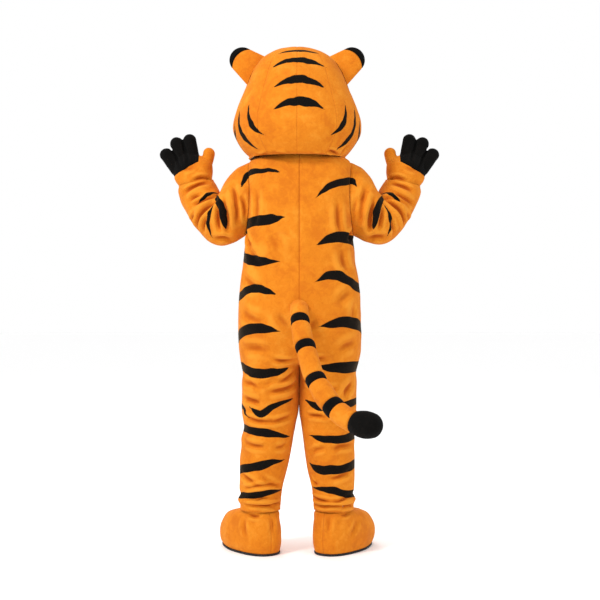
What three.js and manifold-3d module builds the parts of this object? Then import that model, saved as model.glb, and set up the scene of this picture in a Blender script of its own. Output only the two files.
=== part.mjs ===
// Tiger mascot costume: a padded-looking plush suit with tail, head, gloves and boots, arms raised.
// Every cloth piece is a thin closed wall; the tail, ears and muzzle are stuffed.
// Millimetres, +Z up. It faces -Y and its left side is +X. Heights in the tables are above the floor;
// the group is lowered so that the origin is where the wearer's shoulders carry it.
import * as THREE from 'three';
import { mergeVertices } from 'three/addons/utils/BufferGeometryUtils.js';
import Module from 'manifold-3d';

const { PI, abs, acos, cos, max, min, sign, sin, sqrt } = Math;

// Driving dimensions
const SHOULDER_HEIGHT = 1490;
const SEAM_GAP = 0.3;
const SUIT_CLOTH = 2.5;
const HEAD_CLOTH = 6;
const GLOVE_CLOTH = 3;
const BOOT_CLOTH = 4;
const HEAD_CENTRE_X = 9;
const SEAT_HEIGHT = 800;
const CROTCH_HEIGHT = 722;
const DRIFT_TOP = 1200;
const DRIFT_BOTTOM = 860;
const LEG_SWAY = 9;
const SWAY_TOP = 700;
const SWAY_BOTTOM = 250;
const ARMHOLE = { height: 1358, halfHeight: 140, halfDepth: 75, columns: 12 };
const SLEEVE_STAND_OFF = 0.6;
const HEAD_CLEARANCE = 0.3;
const TAIL_CLEARANCE = 0.8;
const DISC_SIDES = 24;
const SUIT_CELLS = 5;
const BOOT_CELLS = 8;
const SOLE_SIDES = 28;
const BOOT = { x: 141, turnOut: PI / 6, sole: 8, welt: 2, heelEnd: 90, ballStart: -110 };
const TAIL_SIDES = 12;
const TIP_STEPS = 6;
const LENGTH_STEPS = 3;

// Colours
const PLUSH = { color: '#ee8a22', roughness: 0.95, metalness: 0 };
const BLACK_PLUSH = { color: '#141417', roughness: 0.95, metalness: 0 };
const CREAM_PLUSH = { color: '#f3e6cf', roughness: 0.95, metalness: 0 };
const NOSE_CLOTH = { color: '#3b2523', roughness: 0.6, metalness: 0 };
const EYE_MESH = { color: '#1b1613', roughness: 0.4, metalness: 0 };
const SOLE_RUBBER = { color: '#19191b', roughness: 0.8, metalness: 0 };

// Section tables, one row for each ring, top to bottom
const TORSO = table(['height', 'halfWidth', 'back', 'front', 'squareness'], [
  [1560, 96, 84, 84, 2.1],
  [1542, 102, 88, 88, 2.1],
  [1526, 130, 96, 92, 2.2],
  [1512, 168, 106, 98, 2.4],
  [1498, 191, 115, 106, 2.7],
  [1460, 199, 127, 116, 3.0],
  [1400, 200, 137, 130, 3.0],
  [1300, 200, 147, 148, 3.0],
  [1219, 204, 153, 162, 2.9],
  [1142, 215, 156, 176, 2.7],
  [1050, 226, 162, 188, 2.5],
  [960, 234, 172, 190, 2.5],
  [850, 236, 179, 182, 2.5],
  [775, 232, 164, 158, 2.4],
  [700, 224, 150, 146, 2.3],
]);
const LEG = table(['height', 'centre', 'halfWidth', 'halfDepth'], [
  [800, 114, 113, 150],
  [722, 112.5, 111.5, 140],
  [640, 111, 109.7, 129],
  [540, 110, 108.7, 116],
  [500, 111, 102, 112],
  [430, 117, 97, 107],
  [363, 125, 95, 102],
  [300, 132, 89, 96],
  [248, 138, 82, 89],
  [200, 141, 79, 84],
  [166, 141, 77, 80],
]);
const FOLDS = table(['height', 'depth', 'spread'], [
  [1110, -4, 38],
  [690, -5, 22],
  [485, -5, 26],
  [440, 4, 22],
  [228, -5, 12],
  [204, 6, 12],
  [186, -2, 9],
]);
const SUIT_ROWS = [
  1560, 1542, 1526, 1512, ...armholeHeights(), 1142, 1050, 960, 860, 800, 786, 768, 745, 730, 722,
  690, 640, 560, 500, 440, 363, 300, 248, 226, 204, 186, 166,
];
const SLEEVE = table(['outX', 'outHeight', 'inX', 'inHeight', 'y', 'halfDepth'], [
  [250.5, 1192, 236, 1479, -8, 90],
  [304, 1181, 270.5, 1447, -25, 97],
  [356, 1199, 295, 1409, -45, 98],
  [402, 1246, 307, 1380, -62, 92],
  [440.5, 1304, 313, 1397, -76, 86],
  [465, 1355, 323, 1415, -86, 80],
  [477.5, 1393, 329, 1429, -90, 76],
  [480, 1413, 332, 1442, -92, 74],
]);
const HEAD = table(['height', 'halfWidth', 'back', 'front'], [
  [1937, 3, 3, 3],
  [1931, 60, 55, 55],
  [1915, 104, 92, 92],
  [1890, 140, 122, 124],
  [1850, 168, 148, 151],
  [1799, 190, 169, 174],
  [1750, 210, 184, 192],
  [1700, 229, 195, 205],
  [1655, 243, 202, 212],
  [1620, 245, 203, 214],
  [1590, 236, 198, 210],
  [1560, 219, 187, 199],
  [1536, 200, 173, 184],
  [1518, 183, 160, 170],
  [1513, 187, 138, 148],
]);
const HEAD_SQUARENESS = 2.1;
const BOOT_SQUARENESS = 2.3;
// Gores of the head: turn runs from 0 at the back through 0.5 at its left side and 1 at the front to 2
const HEAD_GORES = table(['name', 'from', 'to', 'cells'], [
  ['head_back_left', 0, 0.2, 3],
  ['head_side_left', 0.2, 0.56, 5],
  ['head_face', 0.56, 1.44, 10],
  ['head_side_right', 1.44, 1.8, 5],
  ['head_back_right', 1.8, 2, 3],
]);
const HAND = table(['x', 'height', 'y', 'halfWidth', 'halfDepth', 'lean'], [
  [400, 1390, -90, 61, 56, 0.2],
  [405, 1419, -93, 63, 58, 0.22],
  [413, 1454, -97, 76, 60, 0.28],
  [421, 1485, -101, 78, 58, 0.35],
  [434, 1512, -105, 69, 50, 0.42],
  [446, 1535, -108, 49, 34, 0.46],
]);
const FINGERS = table(['baseX', 'baseHeight', 'tipX', 'tipHeight', 'radius'], [
  [483, 1484, 524, 1541, 25],
  [452, 1504, 483, 1584, 25.5],
  [415, 1514, 432, 1597, 25.5],
]);
const THUMB = { baseX: 373, baseHeight: 1473, tipX: 357, tipHeight: 1545, radius: 23.5 };
const FINGER_Y = -104;
// The black finger cloth covers all beyond this line, on the finger side of the thumb's fork
const FINGER_SEAM = { forkX: 393, forkHeight: 1509, endX: 732, endHeight: 1321 };
const HAND_TOP = 1800;
const HAND_SIDES = 12;
const FINGER_SIDES = 8;
const FINGER_CAP_RINGS = 3;
const BOOT_RINGS = table(['height', 'heel', 'toe', 'halfWidth', 'heelPinch'], [
  [8.3, 84, 252, 93, 0.32],
  [40, 88, 262, 103, 0.32],
  [74, 88, 257, 105, 0.32],
  [105, 86, 236, 101, 0.32],
  [131, 83, 202, 94, 0.3],
  [148, 79, 150, 85, 0.2],
  [159, 74, 96, 72, 0.08],
  [166, 68, 70, 66, 0],
  [190, 63, 63, 62, 0],
]);
const TAIL_PATH = table(['x', 'y', 'height'], [
  [0, 168, 941],
  [0, 204, 924],
  [-1, 234, 897],
  [-7, 264, 856],
  [-22, 306, 800],
  [-55, 382, 694],
  [-115, 452, 602],
  [-184, 510, 555],
  [-275, 574, 543],
]);
// Tail pieces along the path, from and to as parts of its length, radius at each end and in the middle
const TAIL_PIECES = table(['name', 'from', 'to', 'cloth', 'start', 'middle', 'end'], [
  ['tail_root', 0, 0.105, PLUSH, 34, 34.5, 34.5],
  ['tail_band_1', 0.105, 0.152, BLACK_PLUSH, 34.5, 35, 34.5],
  ['tail_length_1', 0.152, 0.273, PLUSH, 34.5, 36, 35],
  ['tail_band_2', 0.273, 0.324, BLACK_PLUSH, 35, 36, 35],
  ['tail_length_2', 0.324, 0.485, PLUSH, 35, 37.5, 36],
  ['tail_band_3', 0.485, 0.532, BLACK_PLUSH, 36, 37, 36],
  ['tail_length_3', 0.532, 0.667, PLUSH, 36, 38.5, 37],
  ['tail_band_4', 0.667, 0.722, BLACK_PLUSH, 37, 38, 37],
  ['tail_length_4', 0.722, 0.839, PLUSH, 37, 39.5, 39],
  ['tail_tip', 0.839, 1, BLACK_PLUSH, 39, 45, 26],
]);
// A flat pad round two discs, its crown and its root, and the disc inside whose edge it is orange
const EAR = {
  y: -8, halfThick: 17,
  crownX: 211, crownHeight: 1893, crownRadius: 50,
  rootX: 138, rootHeight: 1838, rootRadius: 68,
  capX: 177.5, capHeight: 1861, capRadius: 72,
};
const FACE = table(['name', 'x', 'y', 'height', 'radiusX', 'radiusY', 'radiusZ', 'cloth'], [
  ['muzzle_left', 43, -205, 1606, 58, 78, 52, CREAM_PLUSH],
  ['muzzle_right', -43, -205, 1606, 58, 78, 52, CREAM_PLUSH],
  ['chin', 0, -186, 1553, 50, 62, 34, CREAM_PLUSH],
  ['nose', 0, -266, 1654, 34, 30, 22, NOSE_CLOTH],
  ['eye_left', 82, -178, 1716, 34, 32, 42, EYE_MESH],
  ['eye_right', -82, -178, 1716, 34, 32, 42, EYE_MESH],
]);

const library = await Module();
library.setup();

function table(columns, rows) {
  return rows.map((row) => Object.fromEntries(columns.map((name, i) => [name, row[i]])));
}

function armholeHeights() {
  const heights = [];
  for (let angle = 90; angle >= -90; angle -= 360 / ARMHOLE.columns) {
    heights.push(ARMHOLE.height + ARMHOLE.halfHeight * sin((angle * PI) / 180));
  }
  return heights;
}

function point(x, y, z) {
  return new THREE.Vector3(x, y, z);
}

// The smooth section at a height, between the rows of a table that runs downwards
function sectionAt(rows, height) {
  const last = rows.length - 1;
  let above = 0;
  while (above < last - 1 && height < rows[above + 1].height) above += 1;
  const upper = rows[above];
  const lower = rows[above + 1];
  const span = lower.height - upper.height;
  const t = THREE.MathUtils.clamp((height - upper.height) / span, 0, 1);
  const slope = (name, i) => {
    const before = rows[max(i - 1, 0)];
    const after = rows[min(i + 1, last)];
    return (after[name] - before[name]) / (after.height - before.height);
  };
  const section = { height };
  for (const name of Object.keys(upper).filter((key) => key !== 'height')) {
    const start = upper[name] * (1 + 2 * t) * (1 - t) ** 2 + lower[name] * t * t * (3 - 2 * t);
    const bend = slope(name, above) * t * (1 - t) ** 2 - slope(name, above + 1) * t * t * (1 - t);
    section[name] = start + bend * span;
  }
  return section;
}

function rounded(value, squareness) {
  return sign(value) * abs(value) ** (2 / squareness);
}

// Turn runs from 0 at the back through 0.5 at the left side to 1 at the front
function ovalPoint(section, squareness, turn) {
  const along = cos(PI * turn);
  const depth = along > 0 ? section.back : section.front;
  const x = section.halfWidth * rounded(sin(PI * turn), squareness);
  return point(x, depth * rounded(along, squareness), section.height);
}

function foldAt(height) {
  const at = (fold) => fold.depth * Math.exp(-(((height - fold.height) / fold.spread) ** 2));
  return FOLDS.reduce((sum, fold) => sum + at(fold), 0);
}

// The left leg's ring: turn 0 and 1 at the inseam, 0.25 behind, 0.5 at the outer side
function legPoint(height, turn) {
  const leg = sectionAt(LEG, height);
  const fold = height < CROTCH_HEIGHT ? foldAt(height) : 0;
  const along = cos(2 * PI * turn);
  const x = leg.centre - leg.halfWidth * along + fold * (0.5 - 0.5 * along);
  return point(x, (leg.halfDepth + fold) * sin(2 * PI * turn), height);
}

// The left half of the suit: rings of the torso turn into the leg's ring between seat and crotch
function suitPoint(height, turn) {
  const drop = THREE.MathUtils.clamp((SEAT_HEIGHT - height) / (SEAT_HEIGHT - CROTCH_HEIGHT), 0, 1);
  const share = 1 - sqrt(1 - drop * drop);
  if (share === 1) return legPoint(height, turn);
  const section = sectionAt(TORSO, height);
  const fold = foldAt(height);
  section.halfWidth += fold;
  section.back += fold;
  section.front += fold;
  return torsoPoint(section, turn).lerp(legPoint(height, turn), share);
}

function headPoint(row, turn) {
  return ovalPoint(HEAD[row], HEAD_SQUARENESS, turn).add(point(HEAD_CENTRE_X, 0, 0));
}

// Columns run down the torso at even turns, and drift until each lies over its leg's column
function torsoPoint(section, turn) {
  const drift = 1 - THREE.MathUtils.smoothstep(section.height, DRIFT_BOTTOM, DRIFT_TOP);
  const across = sin(PI * turn);
  const share = THREE.MathUtils.lerp(abs(rounded(across, section.squareness)), across * across, drift);
  const depth = cos(PI * turn) > 0 ? section.back : -section.front;
  const along = (1 - min(share, 1) ** section.squareness) ** (1 / section.squareness);
  return point(section.halfWidth * sign(across) * share, depth * along, section.height);
}

// How far round the torso the armhole cuts it, at the back or the front
function armholeTurn(height, behind) {
  const rise = (height - ARMHOLE.height) / ARMHOLE.halfHeight;
  if (abs(rise) >= 1 - 1e-9) return 0.5;
  const section = sectionAt(TORSO, height);
  const depth = ARMHOLE.halfDepth * sqrt(1 - rise * rise);
  const reach = (depth / (behind ? section.back : section.front)) ** (section.squareness / 2);
  return behind ? acos(reach) / PI : 1 - acos(reach) / PI;
}

function smoothNormal(before, after, above, below) {
  return after.clone().sub(before).cross(below.clone().sub(above)).normalize();
}

// A closed wall of cloth behind a grid of outer points. Columns run so that column x row points out.
function clothWall(outer, normals, thickness, isTube = false) {
  const rows = outer.length;
  const columns = outer[0].length;
  const behind = (p, i, j) => p.clone().addScaledVector(normals[i][j], -thickness);
  const inner = outer.map((line, i) => line.map((p, j) => behind(p, i, j)));
  const positions = [...outer.flat(), ...inner.flat()].flatMap((p) => p.toArray());
  const index = [];
  const at = (i, j, inside) => (inside ? rows * columns : 0) + i * columns + (j % columns);
  const quad = (a, b, c, d) => index.push(a, c, b, a, d, c);
  const cells = isTube ? columns : columns - 1;
  for (let j = 0; j < cells; j += 1) {
    for (let i = 0; i < rows - 1; i += 1) {
      quad(at(i, j, false), at(i + 1, j, false), at(i + 1, j + 1, false), at(i, j + 1, false));
      quad(at(i, j, true), at(i, j + 1, true), at(i + 1, j + 1, true), at(i + 1, j, true));
    }
    quad(at(0, j, false), at(0, j + 1, false), at(0, j + 1, true), at(0, j, true));
    const last = rows - 1;
    quad(at(last, j, false), at(last, j, true), at(last, j + 1, true), at(last, j + 1, false));
  }
  for (let i = 0; i < rows - 1 && !isTube; i += 1) {
    quad(at(i, 0, false), at(i, 0, true), at(i + 1, 0, true), at(i + 1, 0, false));
    quad(at(i, cells, false), at(i + 1, cells, false), at(i + 1, cells, true), at(i, cells, true));
  }
  return indexedGeometry(positions, index);
}

function indexedGeometry(positions, index) {
  const geometry = new THREE.BufferGeometry();
  geometry.setAttribute('position', new THREE.Float32BufferAttribute(positions, 3));
  geometry.setIndex(index);
  return geometry;
}

// A panel of a surface: each row has its own turns, and both long edges stay half a seam's gap short
function seamedPanel(surface, rows, turnsOf, thickness, rise) {
  const outer = [];
  const normals = [];
  const nudge = 0.004;
  for (const row of rows) {
    const turns = turnsOf(row);
    outer.push([]);
    normals.push([]);
    turns.forEach((turn, j) => {
      const across = surface(row, turn + nudge).sub(surface(row, turn - nudge));
      const down = surface(row - rise, turn).sub(surface(row + rise, turn));
      normals.at(-1).push(across.clone().cross(down).normalize());
      const edge = j === 0 ? 1 : j === turns.length - 1 ? -1 : 0;
      const inset = across.normalize().multiplyScalar((edge * SEAM_GAP) / 2);
      outer.at(-1).push(surface(row, turn).add(inset));
    });
  }
  return clothWall(outer, normals, thickness);
}

function spread(from, to, cells) {
  return Array.from({ length: cells + 1 }, (_, i) => from + ((to - from) * i) / cells);
}

// Reflected to the other side of the body
function mirrored(geometry) {
  const copy = geometry.clone();
  copy.scale(-1, 1, 1);
  const index = copy.getIndex();
  for (let i = 0; i < index.count; i += 3) {
    const first = index.getX(i);
    index.setX(i, index.getX(i + 2));
    index.setX(i + 2, first);
  }
  return copy;
}

// The weight rests on one leg, so both legs lean a little to the left
function swayed(geometry) {
  const positions = geometry.getAttribute('position');
  for (let i = 0; i < positions.count; i += 1) {
    const lean = 1 - THREE.MathUtils.smoothstep(positions.getZ(i), SWAY_BOTTOM, SWAY_TOP);
    positions.setX(i, positions.getX(i) + LEG_SWAY * lean);
  }
  return geometry;
}

function suitPanel(behind) {
  return seamedPanel(suitPoint, SUIT_ROWS, (height) => {
    const side = armholeTurn(height, behind);
    return behind ? spread(0, side, SUIT_CELLS) : spread(side, 1, SUIT_CELLS);
  }, SUIT_CLOTH, 2);
}

// Rings of the left sleeve, from the armhole on the torso to the cuff
function sleeveRings() {
  const angles = spread(0, 2 * PI, ARMHOLE.columns).slice(0, -1);
  const armhole = angles.map((angle) => {
    const height = ARMHOLE.height - ARMHOLE.halfHeight * cos(angle);
    const turn = armholeTurn(height, sin(angle) > 0);
    return suitPoint(height, turn).add(point(SLEEVE_STAND_OFF, 0, 0));
  });
  const rings = SLEEVE.map((ring) => {
    const centre = point((ring.outX + ring.inX) / 2, ring.y, (ring.outHeight + ring.inHeight) / 2);
    const outward = point(ring.outX - ring.inX, 0, ring.outHeight - ring.inHeight).multiplyScalar(0.5);
    return angles.map((angle) => {
      const p = centre.clone().addScaledVector(outward, cos(angle));
      return p.add(point(0, ring.halfDepth * sin(angle), 0));
    });
  });
  return [armhole, ...rings];
}

function sleeveWall() {
  const rings = sleeveRings();
  const columns = ARMHOLE.columns;
  const normals = rings.map((ring, i) => ring.map((_, j) => smoothNormal(
    ring[(j + columns - 1) % columns],
    ring[(j + 1) % columns],
    rings[max(i - 1, 0)][j],
    rings[min(i + 1, rings.length - 1)][j],
  )));
  return clothWall(rings, normals, SUIT_CLOTH, true);
}

function headGore(gore) {
  const surface = (row, turn) => headPoint(THREE.MathUtils.clamp(row, 0, HEAD.length - 1), turn);
  const turns = spread(gore.from, gore.to, gore.cells);
  return seamedPanel(surface, [...HEAD.keys()], () => turns, HEAD_CLOTH, -1);
}

// A closed solid through rings, its ends closed by flat fans. Rings run so that ring x next points out.
function ringSolid(rings) {
  const columns = rings[0].length;
  const middle = (ring) => ring.reduce((sum, p) => sum.add(p), point(0, 0, 0)).divideScalar(columns);
  const points = [...rings.flat(), middle(rings[0]), middle(rings.at(-1))];
  const index = [];
  const at = (i, j) => i * columns + (j % columns);
  const firstCap = rings.length * columns;
  for (let j = 0; j < columns; j += 1) {
    for (let i = 0; i < rings.length - 1; i += 1) {
      index.push(at(i, j), at(i + 1, j + 1), at(i + 1, j), at(i, j), at(i, j + 1), at(i + 1, j + 1));
    }
    index.push(at(0, j + 1), at(0, j), firstCap);
    index.push(at(rings.length - 1, j), at(rings.length - 1, j + 1), firstCap + 1);
  }
  return indexedGeometry(points.flatMap((p) => p.toArray()), index);
}

function solid(geometry) {
  const bare = geometry.clone();
  bare.deleteAttribute('normal');
  bare.deleteAttribute('uv');
  const merged = mergeVertices(bare, 1e-4);
  return new library.Manifold(new library.Mesh({
    numProp: 3,
    vertProperties: new Float32Array(merged.getAttribute('position').array),
    triVerts: new Uint32Array(merged.getIndex().array),
  }));
}

function geometryOf(manifold) {
  const mesh = manifold.getMesh();
  return indexedGeometry(Array.from(mesh.vertProperties), Array.from(mesh.triVerts));
}

function ellipsoid(x, y, z, radiusX, radiusY, radiusZ) {
  const geometry = new THREE.SphereGeometry(1, 16, 8);
  geometry.rotateX(PI / 2);
  geometry.scale(radiusX, radiusY, radiusZ);
  geometry.translate(x, y, z);
  return solid(geometry);
}

// The head's whole outside, grown by a clearance, for cutting what is sewn on it
function headBlock(clearance) {
  const turns = HEAD_GORES.flatMap((gore) => spread(gore.from, gore.to, gore.cells).slice(0, -1));
  const rings = HEAD.map((section, i) => turns.map((turn) => {
    const p = headPoint(i, turn);
    const out = point(p.x - HEAD_CENTRE_X, p.y, 0).normalize().multiplyScalar(clearance);
    return p.add(out).add(point(0, 0, i < 3 ? clearance : 0));
  }));
  return solid(ringSolid(rings));
}

function torsoBlock(clearance) {
  const turns = spread(0, 2, 20).slice(0, -1);
  const heights = [1050, 960, 860, 800];
  return solid(ringSolid(heights.map((height) => turns.map((turn) => {
    const p = suitPoint(height, turn);
    return p.add(point(p.x, p.y, 0).normalize().multiplyScalar(clearance));
  }))));
}

function earSolids() {
  const pad = (x, height, radius) => (
    ellipsoid(x + HEAD_CENTRE_X, EAR.y, height, radius, EAR.halfThick, radius)
  );
  const crown = pad(EAR.crownX, EAR.crownHeight, EAR.crownRadius);
  const ear = library.Manifold.hull([crown, pad(EAR.rootX, EAR.rootHeight, EAR.rootRadius)]);
  const cut = ear.subtract(headBlock(SEAM_GAP + HEAD_CLEARANCE));
  const capCentre = [EAR.capX + HEAD_CENTRE_X, EAR.y, EAR.capHeight];
  const disc = (radius) => {
    const geometry = new THREE.CylinderGeometry(radius, radius, 4 * EAR.halfThick, DISC_SIDES);
    return solid(geometry.translate(...capCentre));
  };
  const reach = 3 * EAR.rootRadius;
  const lean = Math.atan2(EAR.crownHeight - EAR.rootHeight, EAR.crownX - EAR.rootX);
  const outward = new THREE.BoxGeometry(reach, 4 * EAR.halfThick, 2 * reach).translate(reach / 2, 0, 0);
  const outerSide = solid(outward.rotateY(-lean).translate(...capCentre));
  return {
    base: cut.subtract(outerSide.subtract(disc(EAR.capRadius))),
    tip: cut.intersect(outerSide).subtract(disc(EAR.capRadius + SEAM_GAP)),
  };
}

function faceSolids() {
  const pieces = {};
  const taken = [headBlock(SEAM_GAP + HEAD_CLEARANCE)];
  for (const part of FACE) {
    const place = [part.x + HEAD_CENTRE_X, part.y, part.height];
    const radii = [part.radiusX, part.radiusY, part.radiusZ];
    const whole = ellipsoid(...place, ...radii);
    pieces[part.name] = taken.reduce((left, other) => left.subtract(other), whole);
    taken.push(ellipsoid(...place, ...radii.map((radius) => radius + SEAM_GAP)));
  }
  return pieces;
}

// The hand's outside, shrunk by inset, and reaching on past the cuff by reach so that it cuts it open
function handBlock(inset, reach) {
  const rings = HAND.map((ring) => {
    const sideways = point(cos(ring.lean), 0, -sin(ring.lean));
    const centre = point(ring.x, ring.y, ring.height);
    return spread(0, 2 * PI, HAND_SIDES).slice(0, -1).map((angle) => {
      const p = centre.clone().addScaledVector(sideways, (ring.halfWidth - inset) * cos(angle));
      return p.add(point(0, (inset - ring.halfDepth) * sin(angle), 0));
    });
  });
  const cuff = rings[0].map((p) => p.clone().add(point(-reach * 0.2, 0, -reach)));
  const topDown = [...rings.reverse(), cuff];
  return solid(ringSolid(reach > 0 ? topDown : topDown.slice(0, -1)));
}

function capsule(finger, inset) {
  const base = point(finger.baseX, FINGER_Y, finger.baseHeight);
  const tip = point(finger.tipX, FINGER_Y, finger.tipHeight);
  const length = base.distanceTo(tip);
  const radius = finger.radius - inset;
  const geometry = new THREE.CapsuleGeometry(radius, length, FINGER_CAP_RINGS, FINGER_SIDES);
  const turn = new THREE.Quaternion().setFromUnitVectors(point(0, 1, 0), tip.clone().sub(base).normalize());
  geometry.applyQuaternion(turn);
  geometry.translate(...base.add(tip).multiplyScalar(0.5).toArray());
  return solid(geometry);
}

function fingerSide(shift) {
  const { forkX, forkHeight, endX, endHeight } = FINGER_SEAM;
  const outline = new THREE.Shape([
    new THREE.Vector2(forkX - shift, forkHeight - shift),
    new THREE.Vector2(endX, endHeight - shift),
    new THREE.Vector2(endX, HAND_TOP),
    new THREE.Vector2(forkX - shift, HAND_TOP),
  ]);
  const depth = endX - forkX;
  const geometry = new THREE.ExtrudeGeometry(outline, { depth, bevelEnabled: false });
  geometry.rotateX(PI / 2);
  geometry.translate(0, FINGER_Y + depth / 2, 0);
  return solid(geometry);
}

function gloveSolids() {
  const parts = (inset, reach) => [
    handBlock(inset, reach), ...FINGERS.map((finger) => capsule(finger, inset)), capsule(THUMB, inset),
  ].reduce((whole, part) => whole.add(part));
  const shell = parts(0, 0).subtract(parts(GLOVE_CLOTH, 2 * GLOVE_CLOTH));
  return {
    hand: shell.subtract(fingerSide(SEAM_GAP)),
    fingers: shell.intersect(fingerSide(0)),
  };
}

// Turn as on the torso, with the toe in front; the heel is narrower than the ball of the foot
function bootPoint(row, turn) {
  const ring = BOOT_RINGS[THREE.MathUtils.clamp(row, 0, BOOT_RINGS.length - 1)];
  const section = { height: ring.height, halfWidth: ring.halfWidth, back: ring.heel, front: ring.toe };
  const p = ovalPoint(section, BOOT_SQUARENESS, turn);
  const towardsHeel = THREE.MathUtils.smoothstep(p.y, BOOT.ballStart, BOOT.heelEnd);
  return p.setX(p.x * (1 - ring.heelPinch * towardsHeel));
}

function placedBoot(geometry) {
  return geometry.clone().rotateZ(BOOT.turnOut).translate(BOOT.x, 0, 0);
}

function bootUpper(from, to) {
  const rows = BOOT_RINGS.map((_, i) => i).reverse();
  return seamedPanel(bootPoint, rows, () => spread(from, to, BOOT_CELLS), BOOT_CLOTH, 1);
}

function bootSole() {
  const outline = new THREE.Shape(spread(0, 2, SOLE_SIDES).slice(0, -1).map((turn) => {
    const p = bootPoint(0, turn);
    const out = p.clone().setZ(0).normalize().multiplyScalar(BOOT.welt);
    return new THREE.Vector2(p.x + out.x, p.y + out.y);
  }));
  return new THREE.ExtrudeGeometry(outline, { depth: BOOT.sole, bevelEnabled: false });
}

function tailRings(curve, piece) {
  const gap = SEAM_GAP / 2 / curve.getLength();
  const isTip = piece.name === 'tail_tip';
  const steps = isTip ? TIP_STEPS : LENGTH_STEPS;
  return spread(piece.from + gap, piece.to - gap, steps).map((at, i) => {
    const f = i / steps;
    const centre = curve.getPointAt(at);
    const forward = curve.getTangentAt(at);
    const sideways = point(0, 0, 1).cross(forward).normalize();
    const upward = forward.clone().cross(sideways);
    const swell = 4 * f * (1 - f);
    const bulge = swell * (piece.middle - (piece.start + piece.end) / 2);
    const radius = piece.start + (piece.end - piece.start) * (isTip ? f ** 3 : f) + bulge;
    return spread(0, 2 * PI, TAIL_SIDES).slice(0, -1).map((angle) => {
      const p = centre.clone().addScaledVector(sideways, radius * cos(angle));
      return p.addScaledVector(upward, radius * sin(angle));
    });
  });
}

function tailSolid(curve, piece) {
  const length = solid(ringSolid(tailRings(curve, piece)));
  return piece.name === 'tail_root' ? length.subtract(torsoBlock(TAIL_CLEARANCE)) : length;
}

const costume = new THREE.Group();
costume.position.z = -SHOULDER_HEIGHT;

function sew(name, geometry, cloth) {
  const mesh = new THREE.Mesh(geometry, new THREE.MeshStandardMaterial(cloth));
  mesh.name = name;
  costume.add(mesh);
}

function sewPair(name, geometry, cloth, finish = (side) => side) {
  sew(name.replace('SIDE', 'left'), finish(geometry), cloth);
  sew(name.replace('SIDE', 'right'), finish(mirrored(geometry)), cloth);
}

function addHead() {
  HEAD_GORES.forEach((gore) => sew(gore.name, headGore(gore), PLUSH));
  const ear = earSolids();
  const centred = (geometry) => geometry.translate(-HEAD_CENTRE_X, 0, 0);
  const placed = (geometry) => geometry.translate(HEAD_CENTRE_X, 0, 0);
  sewPair('ear_SIDE_base', centred(geometryOf(ear.base)), PLUSH, (side) => placed(side.clone()));
  sewPair('ear_SIDE_tip', centred(geometryOf(ear.tip)), BLACK_PLUSH, (side) => placed(side.clone()));
  const face = faceSolids();
  FACE.forEach((part) => sew(part.name, geometryOf(face[part.name]), part.cloth));
}

function addSuit() {
  sewPair('suit_back_SIDE', suitPanel(true), PLUSH, (side) => swayed(side.clone()));
  sewPair('suit_front_SIDE', suitPanel(false), PLUSH, (side) => swayed(side.clone()));
  sewPair('sleeve_SIDE', sleeveWall(), PLUSH);
}

function addGloves() {
  const glove = gloveSolids();
  sewPair('glove_SIDE_hand', geometryOf(glove.hand), PLUSH);
  sewPair('glove_SIDE_fingers', geometryOf(glove.fingers), BLACK_PLUSH);
}

function addBoots() {
  const finish = (side) => side.clone().translate(LEG_SWAY, 0, 0);
  sewPair('boot_SIDE_lateral', placedBoot(bootUpper(0, 1)), PLUSH, finish);
  sewPair('boot_SIDE_medial', placedBoot(bootUpper(1, 2)), PLUSH, finish);
  sewPair('boot_SIDE_sole', placedBoot(geometryOf(solid(bootSole()))), SOLE_RUBBER, finish);
}

function addTail() {
  const curve = new THREE.CatmullRomCurve3(TAIL_PATH.map((p) => point(p.x, p.y, p.height)));
  TAIL_PIECES.forEach((piece) => sew(piece.name, geometryOf(tailSolid(curve, piece)), piece.cloth));
}

addHead();
addSuit();
addGloves();
addBoots();
addTail();

export default costume;
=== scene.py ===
"""Looks of the tiger mascot costume: suit with tail, head, gloves and boots, worn hollow, arms raised."""
import math

import bmesh
import bpy
import numpy as np
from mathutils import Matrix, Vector


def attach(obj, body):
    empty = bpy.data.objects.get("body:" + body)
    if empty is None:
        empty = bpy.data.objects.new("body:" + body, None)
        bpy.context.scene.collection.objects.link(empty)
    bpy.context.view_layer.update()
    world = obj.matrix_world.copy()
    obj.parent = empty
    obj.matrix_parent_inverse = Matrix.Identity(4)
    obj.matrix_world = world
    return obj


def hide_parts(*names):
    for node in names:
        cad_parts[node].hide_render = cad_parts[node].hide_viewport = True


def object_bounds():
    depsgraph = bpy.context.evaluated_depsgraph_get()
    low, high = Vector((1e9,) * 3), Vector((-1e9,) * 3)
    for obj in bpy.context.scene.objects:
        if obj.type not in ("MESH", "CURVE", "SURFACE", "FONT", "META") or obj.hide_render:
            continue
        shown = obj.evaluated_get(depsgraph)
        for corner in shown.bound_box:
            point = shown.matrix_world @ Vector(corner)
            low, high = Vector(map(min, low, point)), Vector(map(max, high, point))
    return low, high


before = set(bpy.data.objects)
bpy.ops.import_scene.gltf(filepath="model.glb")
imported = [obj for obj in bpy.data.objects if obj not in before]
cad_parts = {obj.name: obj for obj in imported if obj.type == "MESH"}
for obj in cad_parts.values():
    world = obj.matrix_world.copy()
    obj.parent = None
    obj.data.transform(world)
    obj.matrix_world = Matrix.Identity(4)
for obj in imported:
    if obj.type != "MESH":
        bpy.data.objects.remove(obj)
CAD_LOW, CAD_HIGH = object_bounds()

MM = 0.001
CREASE_DEPTH = 2.9
# The distance to a stripe that is stored where none is near
NO_STRIPE = 60.0
# How much of a seam's groove and its painted shade shows at the suit's sides and armholes, where the pile is
# brushed over it
SIDE_SEAM = 0.12
GATHER_REACH = 14.0
# Round the crotch the seam isn't sunk, so it stays shut where the legs part
EASE_HEIGHT, EASE_REACH, EASE_DEPTH = 757.0, 62.0, 1.0
FLOOR = CAD_LOW.z
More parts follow.
